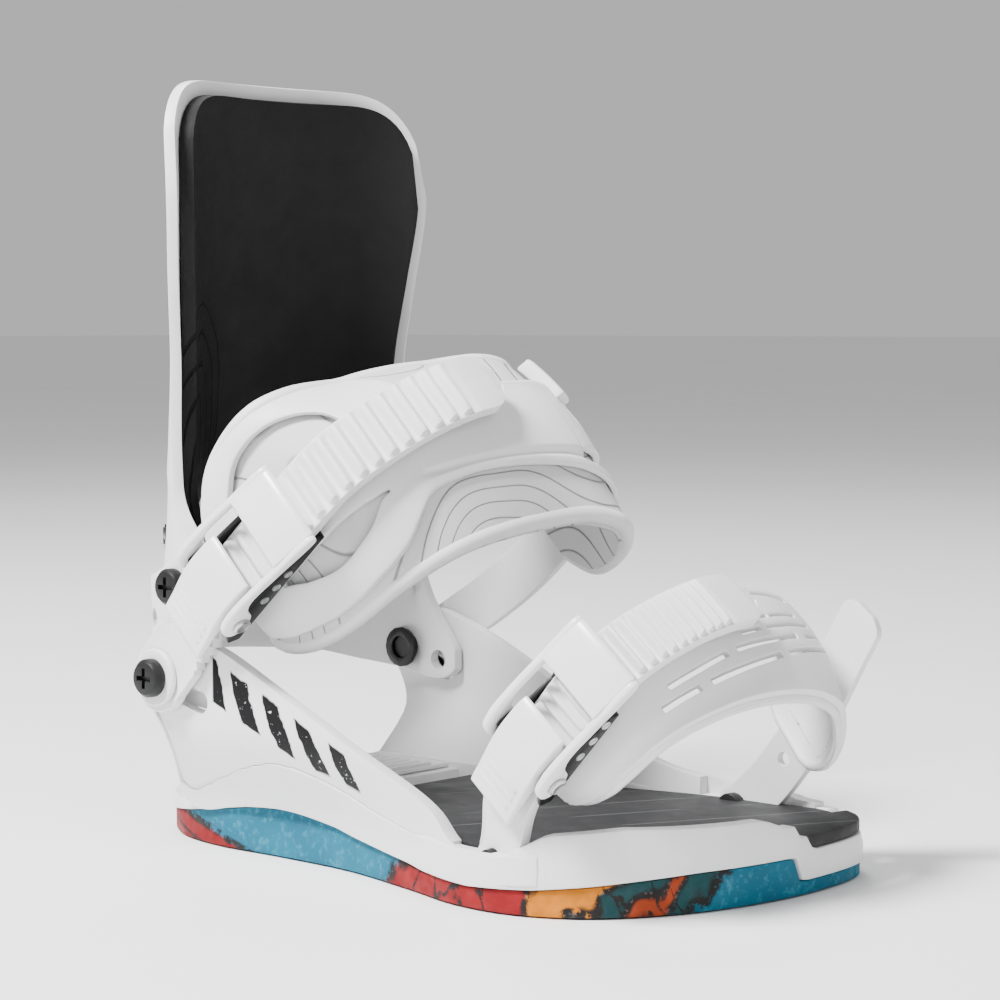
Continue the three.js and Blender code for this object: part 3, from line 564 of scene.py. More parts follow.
WHITE = plastic("moulded_white", SHELL_TONE, 0.36)
CHASSIS = brushed_white("chassis_white")
SOFT_WHITE = plastic("strap_white", (0.75, 0.75, 0.755), 0.5, grain=0.00004)
LEVER_WHITE = plastic("lever_white", (0.80, 0.80, 0.805), 0.3, coat=0.25)
BLACK = plastic("moulded_black", (0.010, 0.010, 0.011), 0.45, tint=0.8)
LINER = liner(
    "liner_white", (0.60, 0.60, 0.605), (0.22, 0.22, 0.23), lambda n: topo(n, 14, 20, 0.07)
)
HEEL_SWIRL = (-0.034, 0.1, 0.118)
PAD = liner(
    "pad_black", (0.008, 0.008, 0.0083), (0.0006, 0.0006, 0.0006),
    lambda n: rings(n, HEEL_SWIRL, (1.7, 1, 0.6), 0.0062, 0.037), 0.6, 0.16,
)
FOOT = liner(
    "footbed_black", (0.022, 0.022, 0.023), (0.07, 0.07, 0.072),
    lambda n: stripes(n, 0.021), 0.6, 0.2,
)
PRINT = foam_print("bushing_print")
STEEL = metal("steel", (0.55, 0.55, 0.56))
DARK_STEEL = metal("black_steel", (0.006, 0.006, 0.0065), 0.46, 0.0)


def dress(obj, material, body, slot, *nodes, padded=None):
    """Material, body and replaced nodes of a piece; the slot is not used."""
    obj.data.materials.clear()
    obj.data.materials.append(material)
    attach(obj, body)
    if nodes:
        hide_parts(*nodes)
    return obj


def chassis(obj):
    return dress(obj, CHASSIS, "base", "white_shell", "baseplate")


# ---- base --------------------------------------------------------------------------------------
PLAN = Curve(
    [
        (0, 121), (-24, 114), (-40, 95), (-46.5, 72), (-47, 40), (-49, 8), (-57, -25), (-64.5, -52),
        (-64, -74), (-54, -94), (-34, -109), (-6, -118.5), (26, -121), (54, -115.5), (66, -101),
        (67, -78), (63, -45), (55, -12), (48.5, 15), (47, 42), (46.5, 72), (40, 95), (24, 114),
    ],
    closed=True,
)
SIDEWAYS = axes((0, 0, 0), (0, 1, 0), (0, 0, 1), (1, 0, 0))
BUSHING_TOP = [
    (-130, 12), (-113, 11.4), (-94, 8.9), (-80, 7.4), (-57, 6.2), (-35, 7), (-5, 10.3), (18, 13.5),
    (33, 15.4), (52, 14.6), (70, 12), (85, 9.5), (100, 7.5), (130, 6),
]
RAIL_TOP = [
    (-160, 24.2), (-118, 24.6), (-102, 25.6), (-84, 23.6), (-78, 20.5), (-72, 17), (-50, 17),
    (0, 20), (60, 20),
    (84, 19.5), (93, 12.8), (160, 12),
]


def plan(share, margin):
    """A point of the plan outline moved inwards by a margin."""
    p = PLAN.at(share)
    a, b = PLAN.at((share - 0.006) % 1), PLAN.at((share + 0.006) % 1)
    t = (b - a).normalized()
    return p.x - t.y * margin, p.y + t.x * margin


def ring(count, margin):
    return [plan(i / count, margin) for i in range(count)]


def front_notch(x, y):
    """How far a place on the rim is inside the lowered notch at the big-toe side of the front."""
    return smooth(x, 11, 15) * smooth(-y, 97, 99)


def foam_top(x, y):
    return lerp(along(BUSHING_TOP, y), 4.2, front_notch(x, y))


def bushing_side(u, v, side):
    x, y = plan(u, 1.0 if side else 3.8)
    x0, y0 = plan(u, 1.2)
    return Vector((x, y, lerp(0.05, foam_top(x0, y0) - 0.05, v)))


def curb_side(u, v, side):
    """Inner foot of the rails, which closes the gap over the floor where the bushing rises."""
    x, y = plan(u, 4.2 if side else 5.9)
    x0, y0 = plan(u, 1.2)
    return Vector((x, y, lerp(12.6, max(13.2, foam_top(x0, y0) + 1), v)))


SHARES = [i / 220 for i in range(220)]
rim = panel("bushing_rim", bushing_side, SHARES, steps(0, 1, 4), closed=True, bevel=0.5)
dress(rim, PRINT, "base", "foam_print", "base_bushing")
sole = prism("bushing_sole", ring(160, 3.0), 0.1, 5.9)
DISC_AXIS = Matrix.Translation((0, DISC_Y, 0))
cut(sole, drill(42, DISC_AXIS, -2, 12, 72))
dress(sole, PRINT, "base", "foam_print", "base_bushing")


def rail_top(x, y):
    low = lerp(along(RAIL_TOP, y), 17.2, smooth(x, 30, 48) * smooth(-y, 72, 92))
    low = lerp(low, 21.2, smooth(x, -4, 10) * smooth(-y, 112, 116))
    notch = 0.45 * smooth(x, 11.5, 14.5) + 0.55 * smooth(x, 18, 21)
    return lerp(low, 13.1, notch * smooth(-y, 99, 100.5))


def rail_side(u, v, side):
    x0, y0 = plan(u, 0)
    low, high = foam_top(x0, y0) + 0.3, rail_top(x0, y0)
    z = lerp(low, high, v)
    lean = 0.8 * smooth(v, 0.55, 1.0)
    x, y = plan(u, lean if side else RAIL - lean * 0.4)
    return Vector((x, y, z))


RAIL_VS = [0, 0.12, 0.35, 0.6, 0.85, 1]
rail = panel("toe_rail", rail_side, SHARES, RAIL_VS, closed=True, bevel=0.9, segments=3)
chassis(rail)

curb = panel("rail_curb", curb_side, SHARES, [0, 1], closed=True)
chassis(curb)
floor_piece = prism("floor", ring(160, 5.2), 6.4, FLOOR_TOP)
disc_seat = [(DISC_BORE, -2), (DISC_BORE, 8.8), (DISC_STEP, 8.8), (DISC_STEP, 30)]
cut(floor_piece, lathe("hole", disc_seat, DISC_AXIS, 72))
chassis(floor_piece)
heel_ring = ring(200, 5.4)
for name, low_y, high_y, top in (("heel_floor", 41, 87, HEEL_TOP), ("heel_end", 84, 130, 12.4)):
    piece = prism(name, [p for p in heel_ring if low_y < p[1] < high_y], 9, top, bevel=0.8)
    chassis(piece)


OUTLINE = ring(720, 0)


def plan_half(y, sign):
    """Half-width of the plan outline on one side."""
    return max(x * sign for x, place_y in OUTLINE if abs(place_y - y) < 1)


def wall_x(y, z):
    sole_x = along([(-120, 66), (-64, 65), (-40, 60.5), (-12, 54), (12, 48.6), (80, 47)], y)
    high_x = along([(-120, 66), (-64, 65), (-20, 62.5), (10, WALL_X), (90, WALL_X)], y)
    return lerp(sole_x, high_x, smooth(z, 10, 44))


WALL_LOW = Curve([
    (-92, 10), (-70, 8.4), (-50, 7.4), (-30, 8.2), (0, 11.3), (33, 15.9), (56, 14.6), (77, 11.6),
    (84.5, 15.5),
    (81.5, 25), (79.4, 34.5), (82.6, 43), (86, 49),
])
# The step where the side wall meets the base's raised rim, as (position along the base, height).
RIM_LINE = ease([
    (-92, 15), (-60, 15.6), (-36, 17), (-16, 20), (2, 25.6), (18, 30.2), (30, 31.6), (42, 30),
    (58, 24.6), (74, 18.6), (90, 15),
], 1)
TOP_END = [(21, 52.8), (55, 67.2), (70, 70), (89, 61)]
OUTER_TOP = Curve([(-92, 20), (-70, 16.5), (-50, 17.5), (-40, 26), (-12, 38.6), *TOP_END])
INNER_TOP = Curve([(-92, 18.5), (-70, 20.5), (-54, 22), (-30, 27), (0, 41), *TOP_END])


def wall_point(top, sign):
    def rim_share(u):
        """Where the line from a wall's lower edge to its top crosses the rim line."""
        a, b = WALL_LOW.at(u), top.at(u)
        for v in steps(0, 1, 60):
            p = a.lerp(b, v)
            if p.y > along(RIM_LINE, p.x):
                return min(0.8, max(0.08, v))
        return 0.8

    def point(u, v, side):
        rim = rim_share(u)
        a, b = WALL_LOW.at(u), top.at(u)
        p = a.lerp(b, lerp(0, rim, v * 2) if v < 0.5 else lerp(rim, 1, v * 2 - 1))
        x = lerp(plan_half(p.x, sign) - 1.2, wall_x(p.x, p.y), smooth(p.x, -92, -62))
        step = (1.4 if v == 0.5 else 0.8 * smooth(v, 0.494, 0.506)) * smooth(p.x, -52, -38)
        return Vector((sign * (x - step if side else x - WALL), p.x, p.y))

    return point


WALL_VS = steps(0, 0.47, 7) + [0.492, 0.5, 0.508] + steps(0.53, 1, 9)
for name, top, sign in (("outer", OUTER_TOP, -1), ("inner", INNER_TOP, 1)):
    point = wall_point(top, sign)
    wall = panel(f"side_wall_{name}", point, steps(0, 1, 72), WALL_VS, bevel=1.2, segments=3)
    start = 40 * sign
    bolt = drill(ANKLE_BORE, across(start, ANKLE_Y, ANKLE_Z, sign), 0, 40, 40)
    slot_shape = []
    for y, z, way in ((71, 51.5, 1), (62, 49, -1)):
        for a in steps(0, math.pi, 12):
            slot_shape.append((y + way * 3.6 * math.sin(a), z - way * 3.6 * math.cos(a)))
    outline = [(TOE_Y - 20, 8), (TOE_Y + 15, 8), (TOE_Y + 15, 40), (TOE_Y - 20, 40)]
    pocket = prism("pocket", outline, *sorted((51.5 * sign, 61.6 * sign)), SIDEWAYS)
    spare = prism("spare", slot_shape, *sorted((start, start * 2)), SIDEWAYS)
    cut(wall, bolt, spare, pocket)
    chassis(wall)

# ---- footbed and heel pad ----------------------------------------------------------------------
bed = [p for p in ring(200, RAIL + 1.3) if p[1] < 34.5]
lip = [p for p in ring(300, 1.2) if p[0] > 13.5 and p[1] < -101] + [(54, -100), (13.5, -107)]
bed_piece = prism("footbed_mat", bed, FLOOR_TOP + 0.4, 17.4, bevel=0.7)
cut(bed_piece, prism("lip", lip, FLOOR_TOP + 0.5, 17.38, bevel=0.6), mode="UNION")
dress(bed_piece, FOOT, "base", "black_foam", "footbed")
plate = [p for p in ring(200, RAIL + 1.3) if 44 < p[1] < 84 and abs(p[0]) <= 42]
pad_piece = prism("heel_plate", plate, HEEL_TOP + 0.3, HEEL_TOP + 1.8, bevel=0.5)
dress(pad_piece, WHITE, "base", "white_shell", "heel_pad")
for i in range(7):
    y = 46.5 + 5 * i
    bar = [(-32, y), (32, y), (32, y + 2.4), (-32, y + 2.4)]
    rib = prism(f"heel_rib_{i + 1}", bar, 19.6, 21, bevel=0.6)
    dress(rib, WHITE, "base", "white_shell", "heel_pad")

# ---- heelcup -----------------------------------------------------------------------------------
HOOP_BAND = [
    (0, 50, 57), (3, 47.4, 61.5), (8, 46, 67.5), (14, 46.6, 76.5), (18, 47.4, 86.5), (21, 48, 92.5),
    (25, 48.8, 95.5), (29, 49.4, 94), (35, 50.2, 90.5), (44, 51.4, 88), (60, 54.6, 86),
    (103.5, 57, 84),
]
HOOP_LENGTH = 2 * HOOP_ARM + math.pi * HOOP_R


def hoop(u, v, side):
    way = u * HOOP_LENGTH
    half = min(way, HOOP_LENGTH - way)
    z = lerp(along(HOOP_BAND, half, 1), along(HOOP_BAND, half, 2), v)
    radius = HOOP_R - (0 if side else HOOP_WALL)
    sign = 1 if way * 2 > HOOP_LENGTH else -1
    if half < HOOP_ARM:
        return Vector((sign * radius, HOOP_Y - HOOP_ARM + half, z))
    turn = (half - HOOP_ARM) / HOOP_R
    groove = 0.6 * (1 - smooth(abs(v - 0.5), 0.16, 0.24)) * smooth(half, 45, 60) if side else 0
    radius -= groove
    return Vector((sign * radius * math.cos(turn), HOOP_Y + radius * math.sin(turn), z))


cup = panel("heelcup_band", hoop, steps(0, 1, 96), steps(0, 1, 12), bevel=1.1, segments=3)
CUP_HOLES = (5.4, ANKLE_Y, ANKLE_Z), (3.4, 62, 53), (PIVOT_BORE, PIVOT_Y, PIVOT_Z), (3.4, 98, 73)
cut(cup, *(drill(r, across(40 * s, y, z, s)) for s in (-1, 1) for r, y, z in CUP_HOLES))
dress(cup, WHITE, "base", "white_shell", "heelcup")

for side, sign in (("outer", -1), ("inner", 1)):
    # head radius, its seat in x, and the shank's radius and inner end in x
    for kind, body, y, z, r, x, shank_r, shank_x in (
        ("ankle_bolt", "base", ANKLE_Y, ANKLE_Z, 6.2, 67.1, 3.8, 49.2),
        ("back_bolt", "highback", PIVOT_Y, PIVOT_Z, 6.0, 56.0, 3.3, 42.6),
    ):
        head = [
            (0, shank_x - x), (shank_r, shank_x - x), (shank_r, 0.0),
            (r, 0.0), (r, 2.4), (r - 1.0, 3.6), (r - 3, 3.9), (0, 3.9),
        ]
        spot = across(x * sign, y, z, sign)
        bolt = lathe(f"{kind}_{side}_turned", head, spot, 48)
        bar = [(-3.3, -0.75), (3.3, -0.75), (3.3, 0.75), (-3.3, 0.75)]
        cross = [
            prism("cross", bar, 2.2, 6, spot),
            prism("cross", [(b, a) for a, b in bar][::-1], 2.2, 6, spot),
        ]
        cut(bolt, *cross)
        dress(bolt, DARK_STEEL, body, "black_steel", f"{kind}_{side}")
    washer = [(ANKLE_BORE, 0), (9.3, 0), (9.3, 1.1), (8.8, 1.6), (ANKLE_BORE, 1.6), (ANKLE_BORE, 0)]
    spot = across(65.2 * sign, ANKLE_Y, ANKLE_Z, sign)
    disc = lathe(f"ankle_washer_{side}_turned", washer, spot, 56)
    dress(disc, SOFT_WHITE, "base", "strap_white", f"ankle_washer_{side}")

# ---- highback ----------------------------------------------------------------------------------
BACK_ROWS = [
    (74, 50.88, 80, 120.9), (92, 50.88, 80, 120.9), (107, 54, 80, 119), (130, 54.8, 81, 115.4),
    (157, 54.8, 81, 110.4), (185, 58, 78.5, 105.4), (212, 60.6, 76, 101), (232, 59.6, 78.5, 97.6),
    (252, 56, 82, 94.6),
]
BACK_SPREAD = 1.2
BACK_HALF, BACK_FRONT, BACK_SPINE = (ease(BACK_ROWS, column) for column in (1, 2, 3))


def back_point(side_share, height):
    half = along(BACK_HALF, height)
    x = half * side_share
    low = HOOP_Y + math.sqrt(BACK_R * BACK_R - min(x * x, BACK_R * BACK_R))
    high = lerp(along(BACK_SPINE, height), along(BACK_FRONT, height), abs(side_share) ** 2.3)
    return Vector((x, lerp(low, high, smooth(height, 88, 116)), height))


def back_top(a):
    return BACK_TOP - 36 * (1 - (1 - min(1.0, abs(a)) ** 7) ** (1 / 3))


def back_low(a):
    return lerp(82, 75.5, smooth(abs(a), 0.55, 0.9))


def back_sheet(width, low, high, inner, outer, shift=0.0):
    """A layer of the back between two heights, thickened along the back's normal."""

    def solid(u, v, side):
        a = width * math.sin((2 * u - 1) * BACK_SPREAD) / math.sin(BACK_SPREAD)
        z = lerp(low(a), high(a), v)
        a += shift
        p = back_point(a, z)
        wide = back_point(min(1, a + 0.004), z) - back_point(max(-1, a - 0.004), z)
        tall = back_point(a, z + 0.2) - back_point(a, z - 0.2)
        off = outer if side else inner
        return p + wide.cross(tall).normalized() * (off(p) if callable(off) else off)

    return solid


def back_ribs(p):
    """Raised spine and two side ribs on the rear of the shell."""
    ends = smooth(p.z, 108, 122) * (1 - smooth(p.z, 222, 238))
    spine = 1 - smooth(abs(p.x), 7, 11)
    ribs = 1 - smooth(abs(abs(p.x) - 31), 2.5, 5.5)
    return -1.5 * ends * max(spine, ribs)


sheet = back_sheet(1, back_low, back_top, back_ribs, BACK_WALL)
back = panel("back_shell", sheet, steps(0, 1, 52), steps(0, 1, 44), bevel=0.9, segments=3)
slot_shape = [
    (-3.2, 89.5), (3.2, 89.5), (3.2, 110.2), (2.3, 112.4), (0, 113.4), (-2.3, 112.4), (-3.2, 110.2),
]
front_on = axes((0, 0, 0), (1, 0, 0), (0, 0, 1), (0, -1, 0))
bores = [drill(PIVOT_BORE, across(40 * s, PIVOT_Y, PIVOT_Z, s), 0, 20) for s in (-1, 1)]
cut(back, prism("slot", slot_shape, -130, -105, front_on), *bores)
dress(back, WHITE, "highback", "white_shell", "highback_shell")


def pad_low(a):
    return lerp(121, 101, smooth(abs(a), 0.2, 0.85))


def pad_crown(p):
    return BACK_WALL + 0.6 + PAD_WALL + 0.6 * (1 - smooth(abs(p.x), 20, 48))


PAD_SHARE = 0.95


def pad_top(a):
    return back_top(a / PAD_SHARE) - 4.4


sheet = back_sheet(PAD_SHARE, pad_low, pad_top, BACK_WALL + 0.5, pad_crown, 0.012)
pad = panel("back_pad", sheet, steps(0, 1, 48), steps(0, 1, 40), bevel=1.2, segments=4)
dress(pad, PAD, "highback", "pad_grey", "highback_pad", padded=1.0)


# ---- small pieces refined from their CAD nodes -------------------------------------------------
def refine(node, material, body, slot, bevel=0.35):
    bm = bmesh.new()
    bm.from_mesh(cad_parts[node].data)
    bmesh.ops.remove_doubles(bm, verts=bm.verts, dist=2e-6)
    bmesh.ops.dissolve_limit(bm, angle_limit=math.radians(2), verts=bm.verts, edges=bm.edges)
    obj = make(f"{node}_fine", bm, bevel=bevel, segments=2, angle=40, sharp=35)
    return dress(obj, material, body, slot, node)


refine("lean_block", BLACK, "lean_slider", "black_plastic", 0.8)
refine("lean_lever", BLACK, "lean_latch", "black_plastic", 0.5)
refine("lean_bolt", STEEL, "lean_slider", "steel", 0.2)
refine("lean_pin", STEEL, "lean_slider", "steel", 0.2)
refine("mounting_disc", BLACK, "disc", "black_plastic", 0.4)
for i in range(4):
    refine(f"disc_screw_{i + 1}", STEEL, "disc", "steel", 0.25)
for side in ("outer", "inner"):
    refine(f"ankle_nut_{side}", DARK_STEEL, "base", "black_steel", 0.3)
    refine(f"back_nut_{side}", DARK_STEEL, "highback", "black_steel", 0.2)
    refine(f"toe_pin_{side}", DARK_STEEL, "base", "black_steel", 0.3)


# ---- straps ------------------------------------------------------------------------------------
class Strap:
    """A strap's slanted plane: x across the foot, w up its rise, n forwards and down."""

    def __init__(self, y, z, rise):
        self.y, self.z = y, z
        self.cos, self.sin = math.cos(math.radians(rise)), math.sin(math.radians(rise))

    def at(self, x, w, n):
        y = self.y - w * self.cos - n * self.sin
        return Vector((x, y, self.z + w * self.sin - n * self.cos))

    def local(self, x, w, n, tilt):
        """Origin and directions (up, rear, out) of a place on the strap."""
        s, c = math.sin(math.radians(tilt)), math.cos(math.radians(tilt))
        o = self.at(x, w, n)
        ends = self.at(x + s, w + c, n), self.at(x, w, n - 1), self.at(x - c, w + s, n)
        return o, *(end - o for end in ends)

    def over(self, curve, share, n, h):
        """A point over an arch: n across it, h outwards from it."""
        p, t = curve.at(share), curve.tangent(share)
        length = math.hypot(t.x, t.y)
        return self.at(p.x - t.y / length * h, p.y + t.x / length * h, p.z + n)


ankle = Strap(ANKLE_Y, ANKLE_Z, 45)
toe = Strap(TOE_Y, TOE_Z, 50)
FRAME_WALL, LINER_WALL = 2.6, 6.0

ANKLE_ARCH = Curve([
    (-50.5, 31), (-53, 46), (-53.2, 60), (-52, 72), (-49, 84), (-42, 96), (-31, 106.5),
    (-16, 114.5), (2, 119.5),
    (20, 121.5), (35, 120.6), (46.5, 116), (53.3, 107), (55.8, 95), (56, 80),
])
ANKLE_ROWS = [
    (0, -10, 15), (0.012, -20, 20), (0.04, -35, 25), (0.09, -42.5, 29), (0.16, -46, 32),
    (0.3, -45.5, 34),
    (0.5, -42, 34), (0.7, -38, 35), (0.84, -31, 41), (0.92, -22, 43), (0.97, -14, 40), (1, -2, 28),
]


ARCH_SPAN = 200


def ease_shares(rows):
    """Smooth curves through the columns of a table whose positions are shares of an arch.

    Shares are scaled to the arch's rough length, so that they and the millimetres weigh alike."""
    found = []
    for column in range(1, len(rows[0])):
        curve = Curve([(row[0] * ARCH_SPAN, row[column]) for row in rows])
        found.append([(p.x / ARCH_SPAN, p.y) for p in curve.points])
    return found


ANKLE_REAR, ANKLE_FRONT = ease_shares(ANKLE_ROWS)


def ankle_dip(share, n):
    rear = lerp(lerp(1.5, 14, smooth(share, 0.2, 0.45)), 5, smooth(share, 0.62, 0.85))
    front = lerp(13, 0, smooth(share, 0.6, 0.9))
    return (rear if n < 0 else front) * (n / 38) ** 2


END_SHARES = [0, 0.004, 0.009, 0.016, 0.026, 0.04]


def shares(count):
    """Shares of an arch, crowded at both ends."""
    middle = steps(0.055, 0.945, count)
    return END_SHARES + middle + [1 - s for s in END_SHARES[::-1]]


def ankle_liner(u, v, side):
    rear, front = along(ANKLE_REAR, u), along(ANKLE_FRONT, u)
    n = lerp(rear, front, v)
    top = -FRAME_WALL - 0.8
    return ankle.over(ANKLE_ARCH, u, n, (top if side else top - LINER_WALL) - ankle_dip(u, n))


def bead(name, strap, arch, edges, dip, inset, height, radius):
    """A rolled bead round the whole edge of a strap's liner."""
    rear, front = edges
    loop = []
    for edge, way in ((front, -1), (rear, 1)):
        line = [0.004 + 0.992 * i / 160 for i in range(161)]
        for share in line if way < 0 else line[::-1]:
            n = along(edge, share) + inset * way
            loop.append(strap.over(arch, share, n, height - dip(share, n)))
    return tube(name, loop, radius, sides=12, closed=True)


EDGE_LINES = [0, 0.012, 0.034, 0.046, 0.062]
liner_vs = EDGE_LINES + steps(0.1, 0.9, 20) + [1 - s for s in EDGE_LINES[::-1]]
pad = panel("ankle_liner", ankle_liner, shares(80), liner_vs, bevel=1.6, segments=3)
dress(pad, LINER, "ankle_strap", "strap_liner", "ankle_pad", padded=0.9)
edges = ANKLE_REAR, ANKLE_FRONT
roll = bead("ankle_liner_bead", ankle, ANKLE_ARCH, edges, ankle_dip, 1.2, -5.7, 2.9)
dress(roll, SOFT_WHITE, "ankle_strap", "strap_liner", "ankle_pad", padded=0.9)


FRAME_REAR = [
    (0, 3.5), (0.05, 4.2), (0.38, 4.2), (0.44, 6), (0.475, 12), (0.50, 23), (0.54, 26), (0.7, 23),
    (0.8, 18), (0.9, 13), (1, 6),
]
FRAME_ROWS = [
    # share, inner edge of the rear ring, then rear and front of the beam and of the front band
    (0.00, -14, -9, 6, 8, 12), (0.05, -18, -12, 8, 9.5, 21), (0.115, -26, -13, 9, 10.5, 26.5),
    (0.16, -33, -13, 9.5, 16, 29),
    (0.22, -35, -13, 9.5, 20, 30), (0.30, -32, -13, 9.5, 17.5, 29), (0.345, -26, -13, 10, 12, 26.5),
    (0.375, -15, -13, 10, 11.2, 23), (0.42, -15, -12.5, 10.5, 11.8, 17.5),
    (0.48, -14, -12, 11.5, 12.8, 16.2),
    (0.60, -13, -11, 13, 14.4, 17.5), (0.72, -12, -10, 14.5, 16.4, 21),
    (0.80, -10, -8, 15, 20.5, 25.5),
    (0.88, -8, -6, 14.5, 26, 31.5), (0.94, -6, -4, 13, 29, 35), (1, -3, -1, 10, 20, 26),
]
FRAME_EASED = ease_shares(FRAME_ROWS)


def frame_lines(share):
    """Positions across the moulded frame: rear ring, window, middle beam, slot and front band."""
    rear = along(ANKLE_REAR, share) + along(FRAME_REAR, share)
    inner, beam, low, slot, front = (along(rows, share) for rows in FRAME_EASED)
    inner = max(inner, rear + 2.5)
    beam = max(beam, inner + 1.2)
    middles = [lerp(a, b, 0.5) for a, b in ((rear, inner), (beam, low), (slot, front))]
    return [rear, middles[0], inner, beam, middles[1], low, slot, middles[2], front]


def ankle_shell(u, v, side):
    share = lerp(0.02, 0.98, u)
    n = frame_lines(share)[int(v)]
    step = smooth(share, 0.40, 0.47) * (0, 0, 0, 0, 0, 0, 2.0, 0.9, 0.9)[int(v)]
    crown = (0, 0.5, 0, 0, 0.6, 0, 0, 0.5, 0)[int(v)]
    height = crown - step if side else -FRAME_WALL - step * 0.3
    return ankle.over(ANKLE_ARCH, share, n, height - ankle_dip(share, n))


FRAME_US = steps(0, 1, 110)


def frame_mask(i, j):
    share = lerp(0.02, 0.98, (i + 0.5) / 110)
    if j == 2 and 0.12 < share < 0.375:
        return False
    if j == 3 and any(abs(share - mid) < 0.0045 for mid in (0.795, 0.83, 0.865, 0.90)):
        return False
    return not (j == 5 and (0.115 < share < 0.36 or 0.755 < share < 0.925))


lanes = list(range(9))
exo = panel("ankle_exo", ankle_shell, FRAME_US, lanes, mask=frame_mask, bevel=0.8, subdivide=1)
dress(exo, SOFT_WHITE, "ankle_strap", "strap_white", "ankle_frame")


def frame_tab(u, v, side):
    share, n = lerp(0.785, 0.825, u), lerp(-26.5, -8, v)
    return ankle.over(ANKLE_ARCH, share, n, (3.0 if side else -2.4) - ankle_dip(share, n))


tab = panel("ankle_frame_tab", frame_tab, steps(0, 1, 6), steps(0, 1, 6), bevel=0.9, segments=3)
dress(tab, SOFT_WHITE, "ankle_strap", "strap_white", "ankle_frame")


def ladder(name, strap, points, width, eye_r, bore, ribbed, ribs, body, node, notch=0.0, bed=3.2):
    """A ladder strap with rounded ribs, a smooth tongue and a round eye.

    ribbed is the stretch of the strap with ribs, as two shares of its length."""
    curve = Curve(points)
    first, last = ribbed

    def half(share):
        tongue = math.sqrt(max(0.0, 1 - smooth(share, 0.93, 1.0) ** 2.4 * 0.93))
        teeth = notch * abs((share * 46) % 1 - 0.5)
        teeth *= smooth(share, 0.08, 0.1) * (1 - smooth(share, 0.19, 0.21))
        return lerp(eye_r * 0.97, width / 2 * tongue, smooth(share, 0, 0.1)) - teeth

    def rib(share):
        if not first < share < last:
            return 0.5 * smooth(share, last, last + 0.02) * (1 - smooth(share, 0.97, 1.0))
        t = (share - first) / (last - first) * ribs % 1
        return 2.5 * smooth(t, 0.0, 0.5) * (1 - smooth(t, 0.62, 0.92))

    def point(u, v, side):
        h = half(u)
        n = h * v
        lift = rib(u) * (1 - smooth(abs(v), 0.86, 0.95))
        rail_lift = 0.35 * smooth(abs(v), 0.88, 0.94)
        return strap.over(curve, u, n, bed / 2 + lift + rail_lift if side else -bed / 2)

    rows = [-1, -0.95, -0.88, -0.6, 0, 0.6, 0.88, 0.95, 1]
    count = int(ribs / (last - first) * 11)
    strip = panel(name, point, steps(0, 1, count), rows, bevel=0.3, segments=2, sharp=50)
    b = bed / 2
    eye = [(bore, -b), (eye_r, -b), (eye_r, b - 0.5), (eye_r - 0.5, b), (bore, b), (bore, -b)]
    pivot = across(points[0][0], strap.y, strap.z, -1)
    disc = lathe("eye", eye, pivot, 56)
    cut(strip, drill(bore, pivot, -4, 4, 40))
    both = merge(name, strip, disc)
    return dress(both, SOFT_WHITE, body, "strap_white", node)


ladder("ankle_ladder_strip", ankle, [
    (-63.2, 0, 0), (-63.2, 14, 0), (-63, 27, 0), (-61.5, 42, 0), (-60, 57, 0), (-58.8, 69, 0),
    (-57.4, 83, 0),
    (-51.4, 96, -2), (-40, 107.6, -4), (-25, 117.6, -6), (-8, 123.6, -8), (7, 125.6, -9),
], 22, 11.4, 3.9, (0.2, 0.89), 20, "ankle_ladder_strap", "ankle_ladder", 5.0)
ladder("toe_ladder_strip", toe, [
    (-58.8, 0, 0), (-59, 9, -3), (-60.2, 20, -7), (-60.7, 27, -8), (-59.7, 37, -8), (-58.7, 47, -8),
    (-57.1, 63, -8),
    (-50, 74, -8.5), (-36, 81.5, -10), (-17, 85.5, -12), (2, 86, -13),
], 19, 6.4, 2.9, (0.26, 0.86), 21, "toe_ladder_strap", "toe_ladder")


def extender(name, strap, points, width, wall, eye_r, bores, body, node, tail):
    curve = Curve(points)

    def half(share):
        end = math.sqrt(max(0.0, 1 - smooth(share, tail, 1.0) ** 2.4 * 0.8))
        return lerp(eye_r * 0.97, width / 2 * end, smooth(share, 0, 0.14))

    def point(u, v, side):
        return strap.over(curve, u, half(u) * v, wall / 2 if side else -wall / 2)

    rows = [-1, -0.9, -0.4, 0, 0.4, 0.9, 1]
    strip = panel(name, point, steps(0, 1, 48), rows, bevel=0.8, segments=3)
    x, bore, b = points[0][0], bores[0][2], wall / 2
    eye = [(bore, -b), (eye_r, -b), (eye_r, b), (bore, b), (bore, -b)]
    disc = lathe("eye", eye, across(x, strap.y, strap.z), 56)
    cut(strip, *(drill(r, across(*strap.at(x - 20, w, n)), 0, 40, 36) for w, n, r in bores))
    both = merge(name, strip, disc)
    return dress(both, SOFT_WHITE, body, "strap_white", node)


